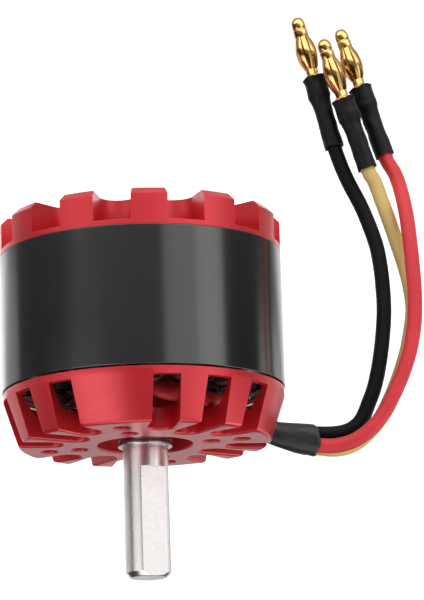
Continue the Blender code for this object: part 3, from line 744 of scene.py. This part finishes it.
def smooth_route(points, step):
    """Evenly spaced points on a Catmull-Rom curve through a route's points."""
    knots = [Vector(p) for p in points]
    ends = [2 * knots[0] - knots[1]] + knots + [2 * knots[-1] - knots[-2]]
    fine = []
    for i in range(len(knots) - 1):
        p0, p1, p2, p3 = ends[i:i + 4]
        for j in range(24):
            t = j / 24
            fine.append(
                0.5 * (2 * p1 + (p2 - p0) * t + (2 * p0 - 5 * p1 + 4 * p2 - p3) * t ** 2
                       + (3 * p1 - 3 * p2 + p3 - p0) * t ** 3)
            )
    fine.append(knots[-1])
    lengths = [0.0]
    for a, b in zip(fine, fine[1:]):
        lengths.append(lengths[-1] + (b - a).length)
    count = max(2, round(lengths[-1] / step))
    spaced = []
    index = 0
    for k in range(count + 1):
        target = lengths[-1] * k / count
        while index < len(fine) - 2 and lengths[index + 1] < target:
            index += 1
        share = (target - lengths[index]) / (lengths[index + 1] - lengths[index])
        spaced.append(fine[index].lerp(fine[index + 1], share))
    return spaced


def wire(name, routes, radius, sides=2):
    """Curve of round wires along lists of points."""
    curve = bpy.data.curves.new(name, "CURVE")
    curve.dimensions = "3D"
    curve.bevel_depth = radius
    curve.bevel_resolution = sides
    curve.use_fill_caps = True
    for route in routes:
        spline = curve.splines.new("POLY")
        spline.points.add(len(route) - 1)
        for point, place in zip(spline.points, route):
            point.co = (*place, 1.0)
        spline.use_smooth = True
    return curve


def aimed(place, along):
    """Matrix that puts the origin at a place, with Z along a direction."""
    turn = Vector(along).to_track_quat("Z", "Y").to_matrix().to_4x4()
    return Matrix.Translation(place) @ turn


# ---------------------------------------------------------------- camera, floor and light
def make_camera():
    """Camera at the photograph's viewing angle."""
    data = bpy.data.cameras.new("camera")
    data.lens = CAMERA_LENS
    data.clip_start = 0.01
    camera = bpy.data.objects.new("camera", data)
    collection.objects.link(camera)
    place = Vector(CAMERA_PLACE)
    along = (Vector(CAMERA_AIM) - place).normalized()
    level = along.to_track_quat("-Z", "Y")
    roll = Matrix.Rotation(math.radians(CAMERA_ROLL), 4, "Z")
    camera.matrix_world = Matrix.Translation(place) @ level.to_matrix().to_4x4() @ roll
    bpy.context.scene.camera = camera


def softbox(name, azimuth, elevation, distance, size, glow, aim=(0.0, 0.0, -0.03), spread=180.0):
    """Rectangular studio light; azimuth is a pattern angle, so 0 is beside the camera."""
    data = bpy.data.lights.new(name, "AREA")
    data.shape = "RECTANGLE"
    data.size, data.size_y = size
    data.energy = glow * math.pi * size[0] * size[1]
    data.spread = math.radians(spread)
    light = bpy.data.objects.new(name, data)
    collection.objects.link(light)
    e = math.radians(elevation)
    centre = Vector(aim)
    out = direction(azimuth) * math.cos(e) + Vector((0.0, 0.0, math.sin(e)))
    light.matrix_world = aimed(centre + out * distance, out)
    light.visible_camera = False


def make_studio():
    """Plain pale floor, dim surroundings and soft lights."""
    scene = bpy.context.scene
    scene.view_settings.view_transform = "Standard"
    scene.view_settings.look = "None"
    world = bpy.data.worlds.new("studio")
    world.use_nodes = True
    background = world.node_tree.nodes["Background"]
    background.inputs["Color"].default_value = (1.0, 1.0, 1.0, 1.0)
    background.inputs["Strength"].default_value = WORLD_GLOW
    scene.world = world
    shape = bmesh.new()
    bmesh.ops.create_grid(shape, x_segments=4, y_segments=4, size=FLOOR_REACH)
    floor = bpy.data.objects.new("studio_floor", to_mesh("studio_floor", shape))
    collection.objects.link(floor)
    floor.location.z = cad_box[0].z - FLOOR_DROP
    floor.data.materials.append(MATERIALS["studio_floor"])
    for name, settings in LIGHTS.items():
        softbox(name, *settings)


# ---------------------------------------------------------------- cords
def make_lead(colour):
    """One silicone lead, its heat shrink and its bullet connector."""
    lead = LEADS[colour]
    shoulder = Vector(lead["shoulder"])
    end = Vector(lead["route"][-1])
    along = (shoulder - end).normalized()
    inside = (shoulder - end).length - CUP_LENGTH - GAP
    points = smooth_route(list(lead["route"]) + [tuple(end + along * inside)], 0.0011)
    curve = wire(f"lead_{colour}_insulation", [points], LEAD_R, 6)
    cord = piece(f"lead_{colour}_insulation", curve, f"silicone_{colour}", STATOR, [f"lead_{colour}"])
    shrink = make_shrink(colour, shoulder, along)
    bullet = make_bullet(colour, shoulder, along)


def make_lead_roots():
    """The leads' first stretch inside the sleeve, up to where each cord begins."""
    for colour, lead in LEADS.items():
        first, second = (Vector(p) for p in lead["route"][:2])
        along = (second - first).normalized()
        axis = Vector(SLEEVE_ROUTE[-1][:3])
        inner = first - along * ROOT_LENGTH
        inner += Vector((0.0, axis.y - first.y, axis.z - first.z)) * ROOT_LEAN
        route = smooth_route([inner, first - along * 0.0006, first + along * 0.0004], 0.0004)
        curve = wire(f"lead_root_{colour}", [route], ROOT_R, 6)
        piece(f"lead_root_{colour}", curve, f"silicone_{colour}", STATOR)


def ruffled(mesh, amount, scale, seed):
    """Move a mesh's points in or out a little, by smooth noise."""
    shift = Vector((seed * 7.3, seed * 3.1, 0.0))
    for vertex in mesh.vertices:
        radial = Vector((vertex.co.x, vertex.co.y, 0.0))
        if radial.length > 0.000001:
            push = noise.noise(vertex.co * scale + shift) * amount
            vertex.co += radial.normalized() * push


def make_shrink(colour, shoulder, along):
    """Heat-shrink tube, shrunk tight on the lead and stretched over the solder cup."""
    wall = 0.0004
    narrow = LEAD_R + 0.00012
    wide = 0.00215
    step_z = -CUP_SHOWN
    outline = [
        (wide + wall + 0.00026, 0.00012), (wide + wall + 0.00006, -0.00050),
        (wide + wall - 0.00002, -0.0014), (wide + wall + 0.00008, -0.0034),
        (wide + wall + 0.00010, step_z + 0.0004), (wide + wall - 0.00010, step_z - 0.00005),
        (narrow + wall + 0.00008, step_z - 0.0005), (narrow + wall - 0.00008, step_z - 0.0014),
        (narrow + wall - 0.00006, step_z - 0.0060),
        (narrow + wall - 0.00002, -SHRINK_LENGTH + 0.0012),
        (narrow + wall + 0.00006, -SHRINK_LENGTH), (narrow, -SHRINK_LENGTH + 0.0001),
        (narrow, step_z - 0.0009), (wide, step_z - 0.0001), (wide, 0.0),
    ]
    mesh = lathe(f"shrink_{colour}", finer(outline, 0.0005), 64)
    seed = list(LEADS).index(colour) + 1
    ruffled(mesh, 0.00016, 420.0, seed)
    for vertex in mesh.vertices:
        if vertex.co.z > -0.0006 or vertex.co.z < -SHRINK_LENGTH + 0.0006:
            around = Vector((vertex.co.x, vertex.co.y, seed * 0.01)) * 700.0
            vertex.co.z += noise.noise(around) * 0.00035
    mesh.transform(aimed(shoulder, along))
    replaced = [f"heatshrink_{colour}"]
    return piece(f"shrink_tube_{colour}", mesh, "heatshrink_black", STATOR, replaced, 50.0)


def finer(outline, step):
    """Closed outline with extra points, so that no stretch is longer than a step."""
    result = []
    for a, b in zip(outline, outline[1:] + outline[:1]):
        a, b = Vector(a), Vector(b)
        count = max(1, math.ceil((b - a).length / step))
        result += [tuple(a.lerp(b, i / count)) for i in range(count)]
    return result


def make_bullet(colour, shoulder, along):
    """Gold bullet connector: flange, neck, core pin, sprung leaves and a domed tip."""
    tip = PLUG_LENGTH
    core = [
        (0.0, tip), (0.00060, tip - 0.00012), (0.00112, tip - 0.00046), (0.00146, tip - 0.00100),
        (0.00160, tip - 0.00165), (0.00162, tip - 0.00275), (0.00150, tip - 0.00290),
        (0.00150, tip - 0.00312), (0.00167, tip - 0.00330), (0.00166, LEAF_Z[1]),
        (0.00100, LEAF_Z[1] - 0.0002), (0.00100, LEAF_Z[0] + 0.0002), (0.00146, LEAF_Z[0]),
        (0.00144, 0.00085), (0.00215, 0.00052), (0.00232, 0.00030), (0.00232, 0.00002),
        (0.00185, -0.00010), (0.00185, -CUP_SHOWN + 0.0001), (0.0, -CUP_SHOWN + 0.0001),
    ]
    meshes = [lathe("core", rounded(core, 0.00010, 2, closed=False), 48, closed=False)]
    meshes += [leaf(number) for number in range(LEAVES)]
    mesh = joined(f"bullet_{colour}", meshes)
    turn = Matrix.Rotation(0.6 * list(LEADS).index(colour), 4, "Z")
    mesh.transform(aimed(shoulder, along) @ turn)
    return piece(f"bullet_{colour}", mesh, "gold_plating", STATOR, [f"bullet_connector_{colour}"], 40.0)


def leaf(number):
    """One sprung leaf of the bullet's cage: a thin strip that bows outwards."""
    low, high = LEAF_Z[0] - 0.0003, LEAF_Z[1] + 0.0003
    shape = bmesh.new()
    rows = []
    middle = 2 * math.pi * number / LEAVES
    steps = 14
    for i in range(steps + 1):
        t = i / steps
        bow = max(0.0, math.sin(math.pi * t))
        radius = 0.00142 + 0.00020 * t + LEAF_BOW * bow ** 0.9
        half = (0.44 - 0.10 * bow) * 2 * math.pi / LEAVES
        z = low + (high - low) * t
        row = []
        for r in (radius, radius - LEAF_T):
            for share in (-1.0, -0.5, 0.0, 0.5, 1.0):
                a = middle + half * share
                row.append(shape.verts.new((r * math.cos(a), r * math.sin(a), z)))
        rows.append(row)
    order = [0, 1, 2, 3, 4, 9, 8, 7, 6, 5]
    for one, other in zip(rows, rows[1:]):
        for i, a in enumerate(order):
            b = order[(i + 1) % len(order)]
            shape.faces.new((one[a], one[b], other[b], other[a]))
    for row in (rows[0], rows[-1]):
        shape.faces.new([row[i] for i in order])
    bmesh.ops.recalc_face_normals(shape, faces=shape.faces)
    return to_mesh("leaf", shape)


# ---------------------------------------------------------------- stator side
def make_housing():
    """Front housing with its slots and screw holes, all edges eased."""
    inner_r = CONE_R - WALL_T
    seat_r = BEARING_R + GAP
    step_r = BEARING_R - 0.0012
    front_seat_z = bottom("front_bearing_outer_ring") - GAP
    rear_seat_z = top("rear_bearing_outer_ring") + GAP
    face = [(RECESS_R + 0.0004, 0.0), (FACE_R, 0.0), (CONE_R, CONE_Z)]
    outline = rounded(face, FACE_EDGE, 5, closed=False) + [
        (CONE_R, BAND_Z), (inner_r, BAND_Z), (inner_r, CONE_Z + 0.0006),
        (FACE_R - WALL_T, -PLATE_T), (TUBE_R + 0.0012, -PLATE_T), (TUBE_R, -PLATE_T - 0.0012),
        (TUBE_R, TUBE_REAR_Z), (seat_r, TUBE_REAR_Z), (seat_r, rear_seat_z), (step_r, rear_seat_z),
        (step_r, front_seat_z), (seat_r, front_seat_z), (seat_r, -RECESS_DEPTH),
        (RECESS_R, -RECESS_DEPTH), (RECESS_R, -0.0004), (RECESS_R + 0.00012, -0.00012),
    ]
    hole_r = SCREW_HOLE_R - 0.0001
    tools = []
    for place in range(16):
        turn = Matrix.Rotation(math.radians(-PATTERN_STEP * place), 4, "Z")
        if place % 4 == 0:
            for radius in SCREW_CIRCLES:
                shift = turn @ Matrix.Translation((radius, 0.0, 0.0))
                tools.append(
                    flared(lambda e: circle(hole_r + e, 32), -PLATE_T - 0.002, HOLE_EDGE, shift)
                )
            continue
        end_r = LONG_SLOT_R if place % 4 == 2 else SHORT_SLOT_R
        tools.append(
            flared(lambda e: round_slot(end_r, CONE_R + 0.002, SLOT_W + 2 * e), CONE_Z, SLOT_EDGE, turn)
        )
    mesh = carve(lathe("housing", outline), joined("housing_tools", tools))
    mesh = eased(mesh, 0.00010, 32)
    mesh.transform(turn_to(PATTERN_ANGLE))
    piece("front_housing_machined", mesh, "red_anodised", STATOR, ["front_housing"])


def coil_route(number):
    """One coil's wire, wound turn beside turn and layer on layer round its tooth."""
    rng = random.Random(100 + number)
    pitch = 2 * WIRE_R * TURN_SPACING
    share = math.tan(math.pi / TEETH)
    front = top("stator_core") + INSULATOR_T + 2 * GAP
    rear = bottom("stator_core") - INSULATOR_T - 2 * GAP
    middle_z = (front + rear) / 2
    half_z = (front - rear) / 2
    points = []
    for layer in range(COIL_LAYERS):
        half_y = TOOTH_W / 2 + GAP + WIRE_R + pitch * layer * LAYER_SPACING
        turns = []
        x = COIL_OUTER_R - WIRE_R
        while x > COIL_INNER_R and x * share - GAP > half_y + WIRE_R:
            turns.append(x)
            x -= pitch
        if layer % 2:
            turns.reverse()
        for x in turns:
            height = half_z + WIRE_R + pitch * layer * LAYER_SPACING + rng.uniform(0.0, 0.00008)
            corner = 0.0012 + 0.0004 * layer
            points += loop_points(x, half_y + rng.uniform(0.0, 0.00006), height, corner, middle_z)
    return points


def loop_points(x, half_y, half_z, corner, middle_z):
    """One turn round a tooth: a rectangle with round corners, at distance x."""
    points = []
    corners = ((1, 1, 0.0), (-1, 1, 90.0), (-1, -1, 180.0), (1, -1, 270.0))
    for sy, sz, start in corners:
        cy = sy * (half_y - corner)
        cz = sz * (half_z - corner)
        for k in range(4):
            a = math.radians(start + 30.0 * k)
            points.append((x, cy + corner * math.cos(a), middle_z + cz + corner * math.sin(a)))
    return points


def make_coils():
    """Twelve wound coils."""
    for number in range(TEETH):
        turn = Matrix.Rotation(2 * math.pi * number / TEETH, 4, "Z")
        route = [turn @ Vector(p) for p in coil_route(number)]
        name = f"coil_winding_{number + 1:02d}"
        curve = wire(name, [route], WIRE_R, 1)
        piece(name, curve, "varnished_copper", STATOR, [f"coil_{number + 1:02d}"])


def make_crossovers():
    """Bundle of strands that joins the coils, on the side away from the leads."""
    rng = random.Random(7)
    routes = []
    for _ in range(STRANDS):
        radius = rng.uniform(0.0186, 0.0234)
        z = rng.uniform(-0.0092, -0.0066)
        start = rng.uniform(-84.0, -70.0)
        end = rng.uniform(-28.0, -14.0)
        phase = rng.uniform(0.0, 6.28)
        route = []
        steps = 22
        for i in range(steps + 1):
            t = i / steps
            angle = start + (end - start) * t
            sway = math.sin(phase + 9.0 * t) + 0.6 * math.sin(2.3 * phase + 17.0 * t)
            dip = 0.0026 * (2 * abs(t - 0.5)) ** 4
            r = radius + 0.0007 * sway
            height = z + 0.0005 * math.cos(phase + 9.0 * t) - dip
            route.append(direction(angle) * r + Vector((0.0, 0.0, height)))
        routes.append(route)
    name = "crossover_strands"
    piece(name, wire(name, routes, STRAND_R, 1), "varnished_copper", STATOR)


def make_tails():
    """Inner ends of the phases, from their coils to the sleeve."""
    for colour, places in TAILS.items():
        route = [direction(angle) * radius + Vector((0.0, 0.0, z)) for angle, radius, z in places]
        name = f"tail_{colour}"
        curve = wire(name, [smooth_route(route, 0.0012)], LEAD_R, 5)
        piece(name, curve, f"silicone_{colour}", STATOR, [f"phase_tail_{colour}"])


def make_sleeve():
    """Heat-shrink sleeve over the three leads: oval, folded lengthwise, with an open mouth.

    It is round in the housing's slot, and widens along Y to take the leads side by side.
    """
    route = [p[:3] for p in SLEEVE_ROUTE] + [SLEEVE_MOUTH]
    radii = [r for _, _, _, r in SLEEVE_ROUTE] + [SLEEVE_ROUTE[-1][3]]
    places = smooth_route(route, SLEEVE_STEP)
    last = len(places) - 1
    shape = bmesh.new()

    def ring_at(index, inset, push=0.0):
        """Ring of points at one place on the route, set in from the outside and pushed along."""
        place = places[index]
        t = index / last * (len(radii) - 1)
        k = min(int(t), len(radii) - 2)
        radius = radii[k] + (radii[k + 1] - radii[k]) * (t - k)
        along = (places[min(index + 1, last)] - places[max(index - 1, 0)]).normalized()
        side = Vector((0.0, 1.0, 0.0))
        up = along.cross(side).normalized()
        spread = ease((abs(place.x) - SLEEVE_SPREAD[0]) / SLEEVE_SPREAD[1])
        widen = SLEEVE_WIDTH[0] + SLEEVE_WIDTH[1] * spread
        power = 1.0 - SLEEVE_SQUARENESS * (widen - SLEEVE_WIDTH[0]) / SLEEVE_WIDTH[1]
        trim = max(0.0, 1.0 - (last - index) * SLEEVE_STEP / SLEEVE_TRIM_LENGTH) ** 2
        ring = []
        for j in range(SLEEVE_SIDES):
            a = 2 * math.pi * j / SLEEVE_SIDES
            twist = a + place.x * 90.0
            fold = noise.noise(Vector((math.cos(twist) * 1.5, math.sin(twist) * 1.5, place.x * 30.0)))
            fine = noise.noise(Vector((math.cos(twist) * 4.0, math.sin(twist) * 4.0, place.x * 90.0)))
            r = radius * (1.0 + 0.040 * fold + 0.012 * fine) - inset
            rear, front = max(0.0, math.sin(a)), max(0.0, -math.sin(a))
            back = SLEEVE_TRIM[0] * rear ** 4 + SLEEVE_TRIM[1] * front ** 5
            centre = place + along * (push - back * trim)
            across = math.copysign(abs(math.cos(a)) ** power, math.cos(a))
            ring.append(shape.verts.new(centre + side * (r * widen * across) + up * (r * math.sin(a))))
        return ring

    rings = [ring_at(i, 0.0) for i in range(last)]
    rings.append(ring_at(last, 0.00004, 0.00002))
    rings.append(ring_at(last, 0.00018, 0.00014))
    rings.append(ring_at(last, SLEEVE_WALL - 0.00008, 0.00012))
    rings += [ring_at(i, SLEEVE_WALL) for i in range(last, last - 14, -1)]
    for one, other in zip(rings, rings[1:]):
        for j in range(SLEEVE_SIDES):
            k = (j + 1) % SLEEVE_SIDES
            shape.faces.new((one[j], one[k], other[k], other[j]))
    for ring in (rings[0], rings[-1]):
        shape.faces.new(ring)
    bmesh.ops.recalc_face_normals(shape, faces=shape.faces)
    mesh = to_mesh("sleeve", shape)
    sleeve = piece("sleeve", mesh, "heatshrink_black", STATOR, ["lead_sleeve"], 45.0)
    # The sleeve takes the lighter copy of the heat shrink, its base colour painted twice as light.
    sleeve.data.materials[0] = MATERIALS["sleeve_painted_lighter"]


def make_bearings():
    """Shields and rings of the two bearings."""
    for side in ("front", "rear"):
        node = f"{side}_bearing_outer_ring"
        front_z = top(node)
        rear_z = bottom(node)
        shield_r = 0.0068
        ring_r = BEARING_R - 0.0011
        sunk = 0.00018
        race_r = 0.0085
        outline = [
            (BEARING_R, front_z), (BEARING_R, rear_z), (ring_r, rear_z), (ring_r, rear_z + sunk),
            (shield_r, rear_z + sunk), (shield_r, rear_z + 0.0005), (race_r, rear_z + 0.0005),
            (race_r, front_z - 0.0005), (shield_r, front_z - 0.0005), (shield_r, front_z - sunk),
            (ring_r, front_z - sunk), (ring_r, front_z),
        ]
        mesh = lathe(node, rounded(outline, 0.00012, 2), SMALL_STEPS)
        piece(f"{side}_bearing_shielded_ring", mesh, "bearing_steel", STATOR, [node])
        bore_r = SHAFT_R + GAP
        inner = [(RACE_R, front_z), (RACE_R, rear_z), (bore_r, rear_z), (bore_r, front_z)]
        mesh = lathe("inner", rounded(inner, 0.00015, 2), SMALL_STEPS)
        piece(f"{side}_bearing_bore_ring", mesh, "bearing_steel", ROTOR, [f"{side}_bearing_inner_ring"])


# ---------------------------------------------------------------- rotor side
def make_can():
    """Flux ring: black outside, with bare steel at its turned front lip."""
    lip = 0.0005
    rear_z = BELL_FRONT_Z + 0.00003
    outline = [
        (BODY_R, CAN_FRONT_Z), (BODY_R, rear_z), (CAN_BORE_R, rear_z),
        (CAN_BORE_R, CAN_FRONT_Z - lip), (CAN_BORE_R + lip, CAN_FRONT_Z),
    ]
    mesh = lathe("can", rounded(outline, 0.00016, 3))
    piece("rotor_can_coated", mesh, "black_can", ROTOR, ["rotor_can"], 40.0)
    mesh.materials.append(MATERIALS["bearing_steel"])
    for face in mesh.polygons:
        centre = face.center
        if math.hypot(centre.x, centre.y) < BODY_R - 0.0005:
            face.material_index = 1


def make_bell():
    """Rear bell with its notches, spigot, hub and threads, all edges eased."""
    spigot_r = CAN_BORE_R - GAP
    bore_r = SHAFT_R + GAP
    hub_z = bottom("rear_bearing_outer_ring") - GAP
    outline = [
        (spigot_r, BELL_FRONT_Z), (BODY_R, BELL_FRONT_Z), (BODY_R, BELL_REAR_Z + BELL_CHAMFER),
        (BODY_R - BELL_CHAMFER, BELL_REAR_Z), (BELL_GROOVE_R[0], BELL_REAR_Z),
        (BELL_GROOVE_R[1], BELL_REAR_Z + BELL_GROOVE_DEPTH),
        (BELL_GROOVE_R[2], BELL_REAR_Z + BELL_GROOVE_DEPTH), (BELL_GROOVE_R[3], BELL_REAR_Z),
        (bore_r + 0.0003, BELL_REAR_Z), (bore_r, BELL_REAR_Z + 0.0003), (bore_r, hub_z),
        (RACE_R, hub_z), (BELL_HUB_R, BELL_PLATE_Z), (BELL_HOLLOW_R, BELL_PLATE_Z),
        (BELL_HOLLOW_R, BELL_FRONT_Z + SPIGOT_LENGTH), (spigot_r, BELL_FRONT_Z + SPIGOT_LENGTH),
    ]
    tools = []
    for number in range(NOTCHES):
        turn = Matrix.Rotation(-2 * math.pi * number / NOTCHES, 4, "Z")
        slot = round_slot(NOTCH_END_R, BODY_R + 0.002, NOTCH_W, 24)
        tools.append(prism(slot, BELL_REAR_Z - 0.001, NOTCH_FLOOR_Z, turn))
    mesh = carve(lathe("bell", outline), joined("bell_tools", tools))
    threads = []
    for number in GRUB_NOTCHES:
        turn = Matrix.Rotation(-2 * math.pi * number / NOTCHES, 4, "Z")
        lay_down = Matrix.Rotation(math.pi / 2, 4, "Y")
        matrix = Matrix.Translation((0.0, 0.0, GRUB_Z)) @ turn @ lay_down
        threads.append(prism(circle(GRUB_THREAD_R, 32), 0.002, NOTCH_END_R, matrix))
    mesh = carve(mesh, joined("threads", threads))
    mesh = eased(mesh, 0.00012, 24)
    mesh.transform(turn_to(NOTCH_ANGLE))
    piece("rear_bell_machined", mesh, "red_anodised", ROTOR, ["rear_bell"])


def make_shaft():
    """Ground shaft with its flat and turned ends."""
    outline = [
        (0.0, SHAFT_FRONT_Z), (SHAFT_R - 0.0010, SHAFT_FRONT_Z), (SHAFT_R, SHAFT_FRONT_Z - 0.0010),
        (SHAFT_R, SHAFT_REAR_Z + 0.0006), (SHAFT_R - 0.0006, SHAFT_REAR_Z), (0.0, SHAFT_REAR_Z),
    ]
    mesh = lathe("shaft", rounded(outline, 0.00012, 2, closed=False), 144, closed=False)
    wide = 0.006
    far = FLAT_DISTANCE + 0.004
    flat = [(FLAT_DISTANCE, -wide), (far, -wide), (far, wide), (FLAT_DISTANCE, wide)]
    mesh = carve(mesh, prism(flat, FLAT_START_Z, SHAFT_FRONT_Z + 0.002, turn_to(FLAT_ANGLE)))
    mesh = eased(mesh, 0.00008, 24, 24.0)
    piece("shaft_ground", mesh, "ground_steel", ROTOR, ["shaft"])


def ring_section(node, bore_r):
    """Corners of a plain ring's section, for a CAD node's outer radius and ends."""
    ring_r = outer(node)
    return [(ring_r, top(node)), (ring_r, bottom(node)), (bore_r, bottom(node)), (bore_r, top(node))]


def make_rings():
    """Snap ring in the shaft's groove, and the spacer below it."""
    section = ring_section("retaining_ring", SHAFT_R + GAP / 2)
    mesh = lathe("ring", rounded(section, 0.00018, 3), SMALL_STEPS)
    near, far, half = 0.004, 0.008, 0.0011
    gap = [(near, -half), (far, -half), (far, half), (near, half)]
    mesh = carve(mesh, prism(gap, -0.002, 0.002, turn_to(SNAP_RING_GAP_ANGLE)))
    piece("snap_ring", mesh, "bearing_steel", ROTOR, ["retaining_ring"])
    section = ring_section("front_spacer", SHAFT_R + GAP)
    mesh = lathe("spacer", rounded(section, 0.00015, 2), SMALL_STEPS)
    piece("spacer_turned", mesh, "bearing_steel", ROTOR, ["front_spacer"])


# ---------------------------------------------------------------- carried-over CAD nodes
def finish_cad_nodes():
    """Give the CAD nodes that stay visible their materials."""
    finishes = {
        "stator_core": "electrical_steel",
        "stator_insulator_front": "insulator_black",
        "stator_insulator_rear": "insulator_black",
        "front_ball_cage": "bearing_steel",
        "rear_ball_cage": "bearing_steel",
        "grub_screw_a": "screw_black",
        "grub_screw_b": "screw_black",
    }
    for name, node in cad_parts.items():
        finish = "magnet_nickel" if name.startswith("magnet_") else finishes.get(name)
        if finish:
            node.data.materials.clear()
            node.data.materials.append(MATERIALS[finish])


# ---------------------------------------------------------------- build
make_camera()
for lead_colour in LEADS:
    make_lead(lead_colour)
make_studio()
make_sleeve()
make_lead_roots()
make_tails()
make_housing()
make_coils()
make_crossovers()
make_bearings()
make_can()
make_bell()
make_shaft()
make_rings()
finish_cad_nodes()
